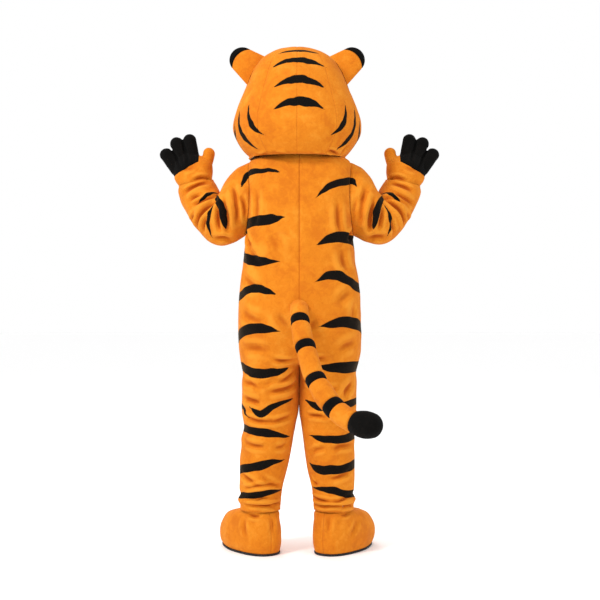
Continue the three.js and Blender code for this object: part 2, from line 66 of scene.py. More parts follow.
# Tables are in millimetres. Heights are above the floor, x is positive on the costume's left.
SUIT_CLOTH, HEAD_CLOTH, BOOT_CLOTH, GLOVE_CLOTH = 2.5, 6.0, 4.0, 3.0
HEAD_X = 9.0
SEAT, CROTCH, CROTCH_CLOSE = 800.0, 722.0, 25.0
DRIFT_TOP, DRIFT_BOTTOM = 1200.0, 860.0
SWAY, SWAY_TOP, SWAY_BOTTOM = 9.0, 700.0, 250.0
ARMHOLE_HEIGHT, ARMHOLE_HALF_HEIGHT, ARMHOLE_HALF_DEPTH = 1358.0, 140.0, 75.0
NECK_TOP, HEM = 1560.0, 166.0


class Table:
    """Rows of numbers with named columns, smooth in between. The first column is the key."""

    def __init__(self, columns, rows):
        self.columns = columns.split()
        self.rows = np.array(rows, float)
        self.key = self.rows[:, 0]

    def at(self, value):
        """{column: values} at each value of the first column."""
        value = np.asarray(value, float)
        key, order = self.key, np.arange(len(self.key))
        place = np.interp(value if key[-1] > key[0] else -value, key if key[-1] > key[0] else -key, order)
        i = np.clip(place.astype(int), 0, len(key) - 2)
        span = key[i + 1] - key[i]
        t = np.clip((value - key[i]) / span, 0, 1)
        before, after = np.maximum(order - 1, 0), np.minimum(order + 1, order[-1])
        found = {}
        for name, column in zip(self.columns[1:], self.rows[:, 1:].T):
            slope = (column[after] - column[before]) / (key[after] - key[before])
            start = column[i] * (1 + 2 * t) * (1 - t) ** 2 + column[i + 1] * t * t * (3 - 2 * t)
            bend = slope[i] * t * (1 - t) ** 2 - slope[i + 1] * t * t * (1 - t)
            found[name] = start + bend * span
        return found


TORSO = Table("height half_width back front squareness", [
    [1560, 96, 84, 84, 2.1],
    [1542, 102, 88, 88, 2.1],
    [1526, 130, 96, 92, 2.2],
    [1512, 168, 106, 98, 2.4],
    [1498, 191, 115, 106, 2.7],
    [1460, 199, 127, 116, 3.0],
    [1400, 200, 137, 130, 3.0],
    [1300, 200, 147, 148, 3.0],
    [1219, 204, 153, 162, 2.9],
    [1142, 215, 156, 176, 2.7],
    [1050, 226, 162, 188, 2.5],
    [960, 234, 172, 190, 2.5],
    [850, 236, 179, 182, 2.5],
    [775, 232, 164, 158, 2.4],
    [700, 224, 150, 146, 2.3],
])
LEG = Table("height centre half_width half_depth", [
    [800, 114, 113, 150],
    [722, 112.5, 111.5, 140],
    [640, 111, 109.7, 129],
    [540, 110, 108.7, 116],
    [500, 111, 102, 112],
    [430, 117, 97, 107],
    [363, 125, 95, 102],
    [300, 132, 89, 96],
    [248, 138, 82, 89],
    [200, 141, 79, 84],
    [166, 141, 77, 80],
])
# height, how far the fold stands out, half height
RING_FOLDS = [
    (1110, -4, 38), (690, -5, 22), (485, -5, 26), (440, 4, 22), (228, -5, 12), (204, 6, 12), (186, -2, 9),
]
# Rings of the left sleeve after its armhole: outer and inner contour as seen from behind, then depths
SLEEVE = Table("ring out_x out_height in_x in_height y half_depth", [
    [1, 250.5, 1192, 236, 1479, -8, 90],
    [2, 304, 1181, 270.5, 1447, -25, 97],
    [3, 356, 1199, 295, 1409, -45, 98],
    [4, 402, 1246, 307, 1380, -62, 92],
    [5, 440.5, 1304, 313, 1397, -76, 86],
    [6, 465, 1355, 323, 1415, -86, 80],
    [7, 477.5, 1393, 329, 1429, -90, 76],
    [8, 480, 1413, 332, 1442, -92, 74],
])
HEAD = Table("ring height half_width back front", [
    [0, 1937, 1, 1, 1],
    [1, 1931, 60, 55, 55],
    [2, 1915, 104, 92, 92],
    [3, 1890, 140, 122, 124],
    [4, 1850, 168, 148, 151],
    [5, 1799, 190, 169, 174],
    [6, 1750, 210, 184, 192],
    [7, 1700, 229, 195, 205],
    [8, 1655, 243, 202, 212],
    [9, 1620, 245, 203, 214],
    [10, 1590, 236, 198, 210],
    [11, 1560, 219, 187, 199],
    [12, 1536, 200, 173, 184],
    [13, 1518, 183, 160, 170],
    [14, 1513, 187, 138, 148],
])
HEAD_SQUARENESS = 2.1
HEAD_GORES = [
    ("head_back_left", 0.0, 0.2),
    ("head_side_left", 0.2, 0.56),
    ("head_face", 0.56, 1.44),
    ("head_side_right", 1.44, 1.8),
    ("head_back_right", 1.8, 2.0),
]
HAND = Table("ring x height y half_width half_depth lean", [
    [0, 400, 1390, -90, 61, 56, 0.2],
    [1, 405, 1419, -93, 63, 58, 0.22],
    [2, 413, 1454, -97, 76, 60, 0.28],
    [3, 421, 1485, -101, 78, 58, 0.35],
    [4, 441, 1512, -105, 60, 50, 0.42],
    [5, 456, 1533, -108, 38, 34, 0.46],
])
# The cuff's edge, the way the arm points there, and how wide a band has no seam
CUFF, CUFF_UP, CUFF_WIDTH = (400.0, 0.0, 1390.0), [0.196, 0, 0.98], 12
FINGER_Y = -104
# Flat width and length of a glove's piece, as an estimate, in widths and heights of its box
# base x, base height, tip x, tip height, radius
FINGERS = [(483, 1484, 524, 1541, 25), (452, 1504, 483, 1584, 25.5), (415, 1514, 432, 1597, 25.5)]
THUMB = (373, 1473, 357, 1545, 23.5)
FINGER_SEAM = {"fork": (393, 1509), "slope": -0.5546}
BOOT_X, BOOT_TURN, BOOT_HEEL_END, BOOT_BALL_START = 141.0, math.pi / 6, 90.0, -110.0
BOOT = Table("ring height heel toe half_width heel_pinch", [
    [0, 8.3, 84, 252, 93, 0.32],
    [1, 40, 88, 262, 103, 0.32],
    [2, 74, 88, 257, 105, 0.32],
    [3, 105, 86, 236, 101, 0.32],
    [4, 131, 83, 202, 94, 0.3],
    [5, 148, 79, 150, 85, 0.2],
    [6, 159, 74, 96, 72, 0.08],
    [7, 166, 68, 70, 66, 0],
    [8, 190, 63, 63, 62, 0],
])
# height and how far the sole stands out from the upper, from under the sole to under the upper
SOLE = [(0, -14), (0, -4), (0.6, -0.4), (2, 1.3), (4, 1.8), (6.4, 1.8), (7.6, 1.2), (8, 0), (8, -6)]
# The middle of the tail, from inside the suit's back to its tip
TAIL_PATH = [
    (0, 168, 941), (0, 204, 924), (-1, 234, 897), (-7, 264, 856), (-22, 306, 800), (-55, 382, 694),
    (-115, 452, 602), (-184, 510, 555), (-275, 574, 543),
]
# name, from and to as parts of the tail's length, radius at the start, middle and end, cloth
TAIL_PIECES = [
    ("tail_root", 0, 0.105, 34, 34.5, 34.5, "orange"),
    ("tail_band_1", 0.105, 0.152, 34.5, 35, 34.5, "black"),
    ("tail_length_1", 0.152, 0.273, 34.5, 36, 35, "orange"),
    ("tail_band_2", 0.273, 0.324, 35, 36, 35, "black"),
    ("tail_length_2", 0.324, 0.485, 35, 37.5, 36, "orange"),
    ("tail_band_3", 0.485, 0.532, 36, 37, 36, "black"),
    ("tail_length_3", 0.532, 0.667, 36, 38.5, 37, "orange"),
    ("tail_band_4", 0.667, 0.722, 37, 38, 37, "black"),
    ("tail_length_4", 0.722, 0.839, 37, 39.5, 39, "orange"),
    ("tail_tip", 0.839, 1, 39, 45, 26, "black"),
]
# x from the head's middle, height and radius of the discs at the ear's crown and root, and of the orange cap
EAR = {"y": -8, "half_thick": 17, "crown": (211, 1893, 50), "root": (138, 1838, 68), "cap": (177.5, 1861, 72)}
# What lies behind is given as the eye sees it from this far off and this high
EYE_DISTANCE, EYE_HEIGHT = 4400.0, 974.0

# ---------------------------------------------------------------- shapes of the garments, in millimetres


def rounded(value, squareness):
    return np.sign(value) * np.abs(value) ** (2 / squareness)


def smooth(value, low, high):
    t = np.clip((value - low) / (high - low), 0, 1)
    return t * t * (3 - 2 * t)


def fold_at(height):
    return sum(depth * np.exp(-(((height - at) / spread) ** 2)) for at, depth, spread in RING_FOLDS)


def leg_point(height, turn):
    leg = LEG.at(height)
    fold = np.where(height < CROTCH, fold_at(height), 0)
    x = leg["centre"] - leg["half_width"] * np.cos(2 * np.pi * turn)
    x = x + fold * (0.5 - 0.5 * np.cos(2 * np.pi * turn))
    inner_side = smooth(height, CROTCH - CROTCH_CLOSE, CROTCH) * (0.5 + 0.5 * np.cos(2 * np.pi * turn))
    x = x - (leg["centre"] - leg["half_width"]) * inner_side
    return np.stack([x, (leg["half_depth"] + fold) * np.sin(2 * np.pi * turn), height + 0 * x], -1)


def torso_point(height, turn):
    section, fold = TORSO.at(height), fold_at(height)
    across = np.sin(np.pi * turn)
    drift = 1 - smooth(height, DRIFT_BOTTOM, DRIFT_TOP)
    square = section["squareness"]
    share = (1 - drift) * np.abs(rounded(across, square)) + drift * across ** 2
    depth = np.where(np.cos(np.pi * turn) > 0, section["back"] + fold, -(section["front"] + fold))
    along = (1 - np.minimum(share, 1) ** square) ** (1 / square)
    x = (section["half_width"] + fold) * np.sign(across) * share
    return np.stack([x, depth * along, height + 0 * x], -1)


def suit_point(height, turn):
    """The left half of the suit. Turn is 0 at the centre back or inseam, 0.5 at the side and 1 in front."""
    drop = np.clip((SEAT - height) / (SEAT - CROTCH), 0, 1)
    share = (1 - np.sqrt(1 - drop * drop))[..., None]
    return torso_point(height, turn) * (1 - share) + leg_point(height, turn) * share


def armhole_turn(height, behind):
    """How far round the torso the armhole cuts it."""
    rise = np.clip((height - ARMHOLE_HEIGHT) / ARMHOLE_HALF_HEIGHT, -1, 1)
    section = TORSO.at(height)
    depth = ARMHOLE_HALF_DEPTH * np.sqrt(1 - rise * rise)
    reach = (depth / section["back" if behind else "front"]) ** (section["squareness"] / 2)
    turn = np.arccos(np.clip(reach, 0, 1)) / np.pi
    return turn if behind else 1 - turn


def oval_point(section, squareness, turn):
    along = np.cos(np.pi * turn)
    x = section["half_width"] * rounded(np.sin(np.pi * turn), squareness)
    depth = np.where(along > 0, section["back"], section["front"])
    return np.stack([x, depth * rounded(along, squareness), section["height"] + 0 * x], -1)


def head_point(ring, turn):
    return oval_point(HEAD.at(ring), HEAD_SQUARENESS, turn) + [HEAD_X, 0, 0]


def sleeve_point(ring, angle):
    """The left sleeve: ring 0 is its armhole, angle 0 its lower side and a quarter turn its back."""
    base = ARMHOLE_HEIGHT - ARMHOLE_HALF_HEIGHT * np.cos(angle)
    turn = np.where(np.sin(angle) > 0, armhole_turn(base, True), armhole_turn(base, False))
    armhole = suit_point(base, turn) + [0.6, 0, 0]
    row = SLEEVE.at(np.maximum(ring, 1))
    middle = [(row["out_x"] + row["in_x"]) / 2, row["y"], (row["out_height"] + row["in_height"]) / 2]
    half_x, half_z = (row["out_x"] - row["in_x"]) / 2, (row["out_height"] - row["in_height"]) / 2
    tube = np.stack([
        middle[0] + half_x * np.cos(angle),
        middle[1] + row["half_depth"] * np.sin(angle),
        middle[2] + half_z * np.cos(angle),
    ], -1)
    share = np.clip(ring, 0, 1)[..., None]
    return armhole * (1 - share) + tube * share


def boot_point(ring, turn):
    section = BOOT.at(ring)
    section = {**section, "back": section["heel"], "front": section["toe"]}
    p = oval_point(section, 2.3, turn)
    p[..., 0] *= 1 - section["heel_pinch"] * smooth(p[..., 1], BOOT_BALL_START, BOOT_HEEL_END)
    c, s = math.cos(BOOT_TURN), math.sin(BOOT_TURN)
    return np.stack([p[..., 0] * c - p[..., 1] * s + BOOT_X, p[..., 0] * s + p[..., 1] * c, p[..., 2]], -1)


def swayed(points):
    """Both legs lean a little to the left under the suit's weight."""
    moved = points.copy()
    moved[..., 0] += SWAY * (1 - smooth(points[..., 2], SWAY_BOTTOM, SWAY_TOP))
    return moved


# ---------------------------------------------------------------- grids of points


def clustered(count, roll=0.35):
    """From 0 to 1, closer together near both ends, where a seam's edge rolls in."""
    t = np.linspace(0, 1, count)
    return t - roll * np.sin(2 * np.pi * t) / (2 * np.pi)


def grid_normals(grid, is_tube):
    across = np.roll(grid, -1, 1) - np.roll(grid, 1, 1) if is_tube else np.gradient(grid, axis=1)
    normal = np.cross(across, np.gradient(grid, axis=0))
    return normal / np.maximum(np.linalg.norm(normal, axis=2, keepdims=True), 1e-9)


def line_lengths(grid, axis):
    steps = np.linalg.norm(np.diff(grid, axis=axis), axis=2)
    return np.concatenate([np.zeros_like(np.take(steps, [0], axis)), np.cumsum(steps, axis)], axis)


# Slow unevenness of worn plush: sums of plane waves in the costume's own space
WAVES = np.random.default_rng(7)
WAVE_DIRECTIONS = WAVES.normal(size=(28, 3))
WAVE_DIRECTIONS /= np.linalg.norm(WAVE_DIRECTIONS, axis=1, keepdims=True)
WAVE_LENGTHS = np.geomspace(45, 260, 28)
WAVE_PHASES = WAVES.uniform(0, 2 * np.pi, 28)


def unevenness(points):
    """About -1 to 1, and the same for the same point."""
    total = np.zeros(points.shape[:-1])
    for direction, length, phase in zip(WAVE_DIRECTIONS, WAVE_LENGTHS, WAVE_PHASES):
        total += (length / 260) ** 0.6 * np.sin(points @ direction * 2 * np.pi / length + phase)
    return total / 4.2


def spline(points, count):
    """A smooth line through 3-D points."""
    points = np.asarray(points, float)
    t = np.linspace(0, len(points) - 1, count)
    i = np.clip(t.astype(int), 0, len(points) - 2)
    f = (t - i)[:, None]
    padded = np.vstack([2 * points[0] - points[1], points, 2 * points[-1] - points[-2]])
    a, b, c, d = padded[i], padded[i + 1], padded[i + 2], padded[i + 3]
    return 0.5 * (
        2 * b + (c - a) * f + (2 * a - 5 * b + 4 * c - d) * f ** 2 + (3 * b - a - 3 * c + d) * f ** 3
    )


def nearest_on_line(points, line):
    """Each point's distance to a 3-D line, and how far along it that is, from 0 to 1."""
    best = np.full(points.shape[:-1], np.inf)
    along = np.zeros(points.shape[:-1])
    for k in range(len(line) - 1):
        step = line[k + 1] - line[k]
        f = np.clip((points - line[k]) @ step / max(step @ step, 1e-9), 0, 1)
        distance = np.linalg.norm(points - line[k] - f[..., None] * step, axis=-1)
        closer = distance < best
        best = np.where(closer, distance, best)
        along = np.where(closer, (k + f) / (len(line) - 1), along)
    return best, along


# ---------------------------------------------------------------- where things lie on the cloth


def whole(*grids, is_tube=False):
    """All outer points and normals of a garment whose panels are these grids."""
    points = np.concatenate([grid.reshape(-1, 3) for grid in grids])
    return points, np.concatenate([grid_normals(grid, is_tube).reshape(-1, 3) for grid in grids])


def on_surface(surface, x, height, behind):
    """The 3-D point of a surface that is seen at x and height from behind, or lies there in front."""
    points, normals = surface
    grow = EYE_DISTANCE / (EYE_DISTANCE - points[:, 1]) if behind else 1.0
    away = (points[:, 0] * grow - x) ** 2 + ((points[:, 2] - EYE_HEIGHT) * grow + EYE_HEIGHT - height) ** 2
    away = np.where((normals[:, 1] > 0) == behind, away, 1e9)
    nearest = np.argpartition(away, 4)[:4]
    weight = 1 / (away[nearest] + 0.5)
    return (points[nearest] * weight[:, None]).sum(0) / weight.sum()


def clung(surface, line):
    """A line laid on to the surface."""
    points = surface[0]
    laid = np.array([points[np.argmin(((points - p) ** 2).sum(1))] for p in line])
    for _ in range(3):
        laid[1:-1] = 0.25 * laid[:-2] + 0.5 * laid[1:-1] + 0.25 * laid[2:]
    return laid


def stripe_lines(surface, stripes):
    """Each stripe's middle line, from its tip behind to its tip in front, its width and its tips' lengths."""
    lines = []
    for stripe in stripes:
        line = [on_surface(surface, x, height, stripe.get("behind", True)) for x, height in stripe["points"]]
        line += [on_surface(surface, x, height, False) for x, height in stripe.get("front", [])]
        line = clung(surface, spline(line, 10 * len(line)))
        lines.append((line, stripe["width"], stripe.get("tip", 134.0), stripe.get("end", 110.0)))
    return lines


def crease_lines(surface, rows):
    """The line, half width and depth of each crease."""
    lines = []
    for x1, h1, x2, h2, bow, width, depth, behind in rows:
        length = math.hypot(x2 - x1, h2 - h1)
        middle = ((x1 + x2) / 2 - (h2 - h1) / length * bow, (h1 + h2) / 2 + (x2 - x1) / length * bow)
        ends = [(x1, h1), middle, (x2, h2)]
        line = spline([on_surface(surface, x, h, behind == 1) for x, h in ends], 16)
        lines.append((clung(surface, line), width, depth))
    return lines


def near_line(points, line, reach):
    return np.all((points > line.min(0) - reach) & (points < line.max(0) + reach), axis=1)


def striped(points, lines):
    """The distance to the nearest stripe's edge in millimetres, below 0 inside it."""
    flat = points.reshape(-1, 3)
    nearest = np.full(len(flat), NO_STRIPE)
    waver = 1.2 * np.sin(flat @ [0.055, 0.021, 0.047] + 1.3) + 0.8 * np.sin(flat @ [0.11, -0.06, 0.13])
    for line, width, tip, end in lines:
        near = near_line(flat, line, 40)
        if not near.any():
            continue
        distance, along = nearest_on_line(flat[near], line)
        length = np.linalg.norm(np.diff(line, axis=0), axis=1).sum()
        share = np.minimum(along * length / tip, (1 - along) * length / end)
        half = width / 2 * np.sin(np.pi / 2 * np.clip(share, 0, 1))
        edge = distance - half - waver[near] * np.minimum(1, half / 8)
        nearest[near] = np.minimum(nearest[near], edge)
    return nearest.reshape(points.shape[:-1])


def creased(points, lines):
    """How far the cloth sinks in creases and rises beside them."""
    flat = points.reshape(-1, 3)
    total = np.zeros(len(flat))
    for line, width, depth in lines:
        near = near_line(flat, line, 5 * width)
        if not near.any():
            continue
        distance, along = nearest_on_line(flat[near], line)
        taper = np.sin(np.pi * np.clip(along * 0.94 + 0.03, 0, 1)) ** 0.7
        trough = np.exp(-((distance / width) ** 2))
        ridge = np.exp(-(((distance - 2.1 * width) / (1.1 * width)) ** 2))
        total[near] += CREASE_DEPTH * depth * taper * (0.5 * ridge - trough)
    return total.reshape(points.shape[:-1])


def mirrored_rows(rows, seed):
    """The same creases on the other side of the body, a little longer, shorter, deeper and shifted."""
    roll = np.random.default_rng(seed)
    out = []
    for x1, h1, x2, h2, bow, width, depth, behind in rows:
        shift = roll.uniform(-9, 9, 4)
        out.append((
            -x1 + shift[0], h1 + shift[1], -x2 + shift[2], h2 + shift[3],
            -bow * roll.uniform(0.6, 1.3), width * roll.uniform(0.85, 1.2),
            depth * roll.uniform(0.7, 1.2), behind,
        ))
    return out


# ---------------------------------------------------------------- meshes


def placed(points):
    """From millimetres above the floor to the frame's metres."""
    return np.asarray(points, float).reshape(-1, 3) * MM + [0, 0, FLOOR]


def linked(name, mesh):
    """An object of a mesh, with all its faces turned outwards."""
    edit = bmesh.new()
    edit.from_mesh(mesh)
    bmesh.ops.recalc_face_normals(edit, faces=edit.faces)
    edit.to_mesh(mesh)
    edit.free()
    obj = bpy.data.objects.new(name, mesh)
    bpy.context.scene.collection.objects.link(obj)
    return obj


def made(name, points, faces, materials, face_materials=None, **attributes):
    """A smooth mesh object with a float attribute for each named list of values."""
    mesh = bpy.data.meshes.new(name)
    mesh.from_pydata(placed(points).tolist(), [], faces)
    for material in materials:
        mesh.materials.append(material)
    if face_materials is not None:
        mesh.polygons.foreach_set("material_index", np.asarray(face_materials, np.int32))
    for key, values in attributes.items():
        attribute = mesh.attributes.new(key, "FLOAT", "POINT")
        attribute.data.foreach_set("value", np.asarray(values, np.float32).ravel())
    obj = linked(name, mesh)
    mesh.shade_smooth()
    mesh.update()
    return obj


def grid_quads(rows, columns, is_tube):
    cells = columns if is_tube else columns - 1
    i, j = [a.ravel() for a in np.meshgrid(np.arange(rows - 1), np.arange(cells), indexing="ij")]
    here, after, below = i * columns, (j + 1) % columns, (i + 1) * columns
    return np.stack([here + j, here + after, below + after, below + j], 1)


def wall_faces(rows, columns, is_tube):
    """Quads of a closed wall, outer grid first, and which of them face inwards."""
    inner = rows * columns
    outside = grid_quads(rows, columns, is_tube)
    inside = outside[:, ::-1] + inner
    j = np.arange(columns if is_tube else columns - 1)
    after = (j + 1) % columns
    rims = [np.stack([j, j + inner, after + inner, after], 1)]
    last = (rows - 1) * columns
    rims.append(np.stack([last + j, last + after, last + after + inner, last + j + inner], 1))
    if not is_tube:
        i = np.arange(rows - 1) * columns
        for edge in (0, columns - 1):
            a, b = i + edge, i + columns + edge
            rims.append(np.stack([a, b, b + inner, a + inner], 1))
    faces = np.concatenate([outside, inside, *rims])
    is_inner = np.zeros(len(faces), int)
    is_inner[len(outside):2 * len(outside)] = 1
    return faces.tolist(), is_inner


def seam_distance(grid, is_tube, closed_ends=(False, False)):
    """The distance from each point to the nearest sewn edge, along the cloth."""
    far = np.full(grid.shape[:2], 1e3)
    if not is_tube:
        across = line_lengths(grid, 1)
        far = np.minimum(far, np.minimum(across, across[:, -1:] - across))
    down = line_lengths(grid, 0)
    if closed_ends[0]:
        far = np.minimum(far, down)
    if closed_ends[1]:
        far = np.minimum(far, down[-1:] - down)
    return far


def plain_attributes(count):
    return {"stripe": np.full(count, NO_STRIPE), "crease": np.zeros(count), "seam": np.zeros(count)}


def wall_attributes(**outer):
    """The outer side's values, followed by plain ones for the lining."""
    plain = plain_attributes(outer["crease"].size)
    return {key: np.concatenate([values.ravel(), plain[key]]) for key, values in outer.items()}


def stands_for(obj, name):
    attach(obj, "root")
    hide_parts(name)


def cloth(
    name, grid, thickness, is_tube=False, stripes=(), creases=(), uneven=1.6,
    sewn_ends=(False, False), seam_depth=2.0, seam_reach=3.5, plain_edge=None, gathered=0.0,
):
    """Orange plush through a grid of outer points, flat or a tube."""
    normals = grid_normals(grid, is_tube)
    crease, stripe = creased(grid, creases), striped(grid, stripes)
    seam = np.exp(-((seam_distance(grid, is_tube, sewn_ends) / seam_reach) ** 2))
    if plain_edge is not None:
        seam *= SIDE_SEAM + (1 - SIDE_SEAM) * np.abs(np.linspace(1, 0, grid.shape[1]) - plain_edge) ** 0.25
    hold = 1 - np.exp(-((seam_distance(grid, is_tube, (True, True)) / 9) ** 2))
    shift = (crease + uneven * unevenness(grid)) * hold
    if gathered:
        down = line_lengths(grid, 0)
        shift = shift - gathered * np.exp(-(((down[-1:] - down) / GATHER_REACH) ** 2))
    closed = 1 - EASE_DEPTH * np.exp(-(((grid[..., 2] - EASE_HEIGHT) / EASE_REACH) ** 4))
    outer = grid + normals * (shift - seam_depth * closed * seam)[..., None]
    inner = grid + normals * (shift - thickness)[..., None]
    rows, columns = grid.shape[:2]
    faces, is_inner = wall_faces(rows, columns, is_tube)
    both = np.concatenate([outer.reshape(-1, 3), inner.reshape(-1, 3)])
    obj = made(
        name + "_cloth", both, faces, [MATERIALS["orange_plush"], MATERIALS["lining"]], is_inner,
        **wall_attributes(stripe=stripe, crease=crease, seam=seam),
    )
    stands_for(obj, name)
    across = line_lengths(grid, 1)[:, -1].max()
    if is_tube:
        across = np.linalg.norm(np.roll(grid, -1, 1) - grid, axis=2).sum(1).max()
    down = line_lengths(grid, 0)[-1].max()


def stuffed(name, points, faces, slot, fill, **attributes):
    """A closed padded piece."""
    obj = made(name + "_pad", points, faces, [MATERIALS[slot]], None, **attributes)
    stands_for(obj, name)


def flipped(points):
    """To the other side of the body."""
    return points * [-1, 1, 1]


# ---------------------------------------------------------------- materials


class Nodes:
    """Short calls for one material's nodes."""

    def __init__(self, name):
        self.material = bpy.data.materials.new(name)
        self.material.use_nodes = True
        self.tree = self.material.node_tree
        self.shader = self.tree.nodes["Principled BSDF"]
        self.place = self.add("ShaderNodeTexCoord").outputs["Object"]

    def add(self, kind, inputs=(), **settings):
        node = self.tree.nodes.new(kind)
        for key, value in settings.items():
            setattr(node, key, value)
        for key, value in dict(inputs).items():
            if isinstance(value, bpy.types.NodeSocket):
                self.tree.links.new(value, node.inputs[key])
            else:
                node.inputs[key].default_value = value
        return node

    def noise(self, scale, detail=3, roughness=0.55, distortion=0.0, place=None):
        inputs = {"Vector": place or self.place, "Scale": scale, "Detail": detail, "Roughness": roughness}
        return self.add("ShaderNodeTexNoise", {**inputs, "Distortion": distortion}).outputs[0]

    def attribute(self, name):
        return self.add("ShaderNodeAttribute", attribute_name=name).outputs["Fac"]

    def ramp(self, value, low, high, to_low=0.0, to_high=1.0):
        inputs = {"Value": value, "From Min": low, "From Max": high, "To Min": to_low, "To Max": to_high}
        return self.add("ShaderNodeMapRange", inputs, interpolation_type="SMOOTHSTEP").outputs[0]

    def maths(self, operation, a, b):
        return self.add("ShaderNodeMath", {0: a, 1: b}, operation=operation).outputs[0]

    def mix(self, share, a, b):
        return self.add("ShaderNodeMix", {0: share, 6: a, 7: b}, data_type="RGBA").outputs[2]

    def bump(self, height, distance, strength=1.0, normal=None):
        inputs = {"Height": height, "Distance": distance, "Strength": strength}
        if normal is not None:
            inputs["Normal"] = normal
        return self.add("ShaderNodeBump", inputs).outputs[0]

    def finish(self, colour, normal=None, **constants):
        self.tree.links.new(colour, self.shader.inputs["Base Color"])
        if normal is not None:
            self.tree.links.new(normal, self.shader.inputs["Normal"])
        for key, value in constants.items():
            self.shader.inputs[key.replace("_", " ")].default_value = value
        return self.material


def plush(name, shade, deep, middle, light, sheen, tint, has_stripes=False):
    """Short soft pile: brushed patches, fine tufts, painted shade in creases and a painted highlight on the
    ridges beside them, painted shade along seams, black stripes.
    """
    n = Nodes(name)
    patches = n.noise(11, 2, 0.5, 0.4)
    brushed = n.noise(46, 4, 0.6, 0.8)
    tufts = n.noise(330, 3, 0.65)
    pile = n.noise(1300, 2, 0.7)
    nap = n.maths("ADD", n.maths("MULTIPLY", patches, 0.55), n.maths("MULTIPLY", brushed, 0.45))
    colour = n.mix(n.ramp(nap, 0.36, 0.53, 0.3, 1.0), deep, middle)
    colour = n.mix(n.ramp(nap, 0.5, 0.68, 0.0, 0.7), colour, light)
    colour = n.mix(n.ramp(tufts, 0.3, 0.75, 0.0, 0.3), colour, deep)
    crease = n.attribute("crease")
    # Painted shade in the crease troughs, then a painted highlight on the ridges beside them
    colour = n.mix(n.ramp(crease, -0.8, -9.0, 0.0, 0.9), colour, shade)
    colour = n.mix(n.ramp(crease, 0.4, 3.5, 0.0, 0.6), colour, light)
    # Painted shade along the seams' sunk grooves
    colour = n.mix(n.ramp(n.attribute("seam"), 0.35, 1.0, 0.0, 0.55), colour, deep)
    height = n.maths("ADD", n.maths("MULTIPLY", tufts, 0.7), n.maths("MULTIPLY", pile, 0.3))
    normal = n.bump(brushed, 0.0022, 0.5)
    normal = n.bump(height, 0.0012, 0.7, normal)
    if has_stripes:
        edge = n.attribute("stripe")
        black = n.mix(n.ramp(tufts, 0.3, 0.75), BLACKS[0], BLACKS[1])
        fuzzy = n.maths("ADD", edge, n.maths("MULTIPLY", n.maths("SUBTRACT", pile, 0.5), 1.6))
        colour = n.mix(n.ramp(fuzzy, 0.7, -0.7), colour, black)
        groove = n.ramp(n.maths("ABSOLUTE", edge, 0.0), 0.0, 2.4)
        normal = n.bump(groove, 0.0012, 0.8, normal)
    return n.finish(
        colour, normal, Roughness=0.92, Specular_IOR_Level=0.08, Sheen_Weight=sheen, Sheen_Roughness=0.45,
        Sheen_Tint=tint,
    )


def woven(name, dark, light, roughness, scale):
    """Plain woven or moulded stuff with a fine regular grain."""
    n = Nodes(name)
    wave = {"Vector": n.place, "Scale": scale, "Distortion": 0.6}
    warp = n.add("ShaderNodeTexWave", wave, bands_direction="X").outputs[1]
    weft = n.add("ShaderNodeTexWave", wave, bands_direction="Z").outputs[1]
    grain = n.maths("MULTIPLY", warp, weft)
    colour = n.mix(n.ramp(n.noise(60, 3), 0.3, 0.7), dark, light)
    colour = n.mix(n.ramp(grain, 0.1, 0.9, 0.35, 0.0), colour, dark)
    return n.finish(colour, n.bump(grain, 0.0004, 0.6), Roughness=roughness, Specular_IOR_Level=0.3)


def rubber(name, dark, light):
    n = Nodes(name)
    scuffs = n.noise(38, 5, 0.7)
    colour = n.mix(n.ramp(scuffs, 0.4, 0.75), dark, light)
    return n.finish(colour, n.bump(n.noise(700, 2), 0.0004, 0.6), Roughness=0.72, Specular_IOR_Level=0.35)


BLACKS = [(0.0018, 0.0015, 0.0012, 1), (0.006, 0.005, 0.0042, 1)]
# ORANGE_SHADE is the painted shade in creases; ORANGE_DEEP is the darker tone of patches and tufts and the
# painted shade along seams; ORANGE_LIGHT is the lighter patches and the painted highlight on crease ridges
ORANGE_SHADE, ORANGE_DEEP = (0.4, 0.072, 0.003, 1), (0.54, 0.135, 0.008, 1)
ORANGE, ORANGE_LIGHT = (0.66, 0.2, 0.011, 1), (0.76, 0.285, 0.026, 1)
MATERIALS = {
    "orange_plush": plush(
        "orange_plush", ORANGE_SHADE, ORANGE_DEEP, ORANGE, ORANGE_LIGHT, 0.1, (1, 0.62, 0.3, 1), True,
    ),
    "black_plush": plush(
        "black_plush", BLACKS[0], BLACKS[0], (0.0035, 0.003, 0.0026, 1), BLACKS[1], 0.02,
        (0.6, 0.62, 0.7, 1),
    ),
    "cream_plush": plush(
        "cream_plush", (0.55, 0.41, 0.26, 1), (0.66, 0.52, 0.36, 1), (0.8, 0.69, 0.53, 1),
        (0.88, 0.79, 0.65, 1), 0.2, (1, 0.95, 0.85, 1),
    ),
    "nose_cloth": woven("nose_cloth", (0.018, 0.008, 0.007, 1), (0.045, 0.018, 0.014, 1), 0.55, 420),
    "eye_mesh": woven("eye_mesh", (0.002, 0.002, 0.002, 1), (0.02, 0.014, 0.01, 1), 0.35, 260),
    "sole_rubber": rubber("sole_rubber", (0.006, 0.006, 0.007, 1), (0.022, 0.022, 0.024, 1)),
    "lining": woven("lining", (0.5, 0.3, 0.13, 1), (0.66, 0.45, 0.24, 1), 0.9, 500),
}

# ---------------------------------------------------------------- stripes and creases, as seen from behind

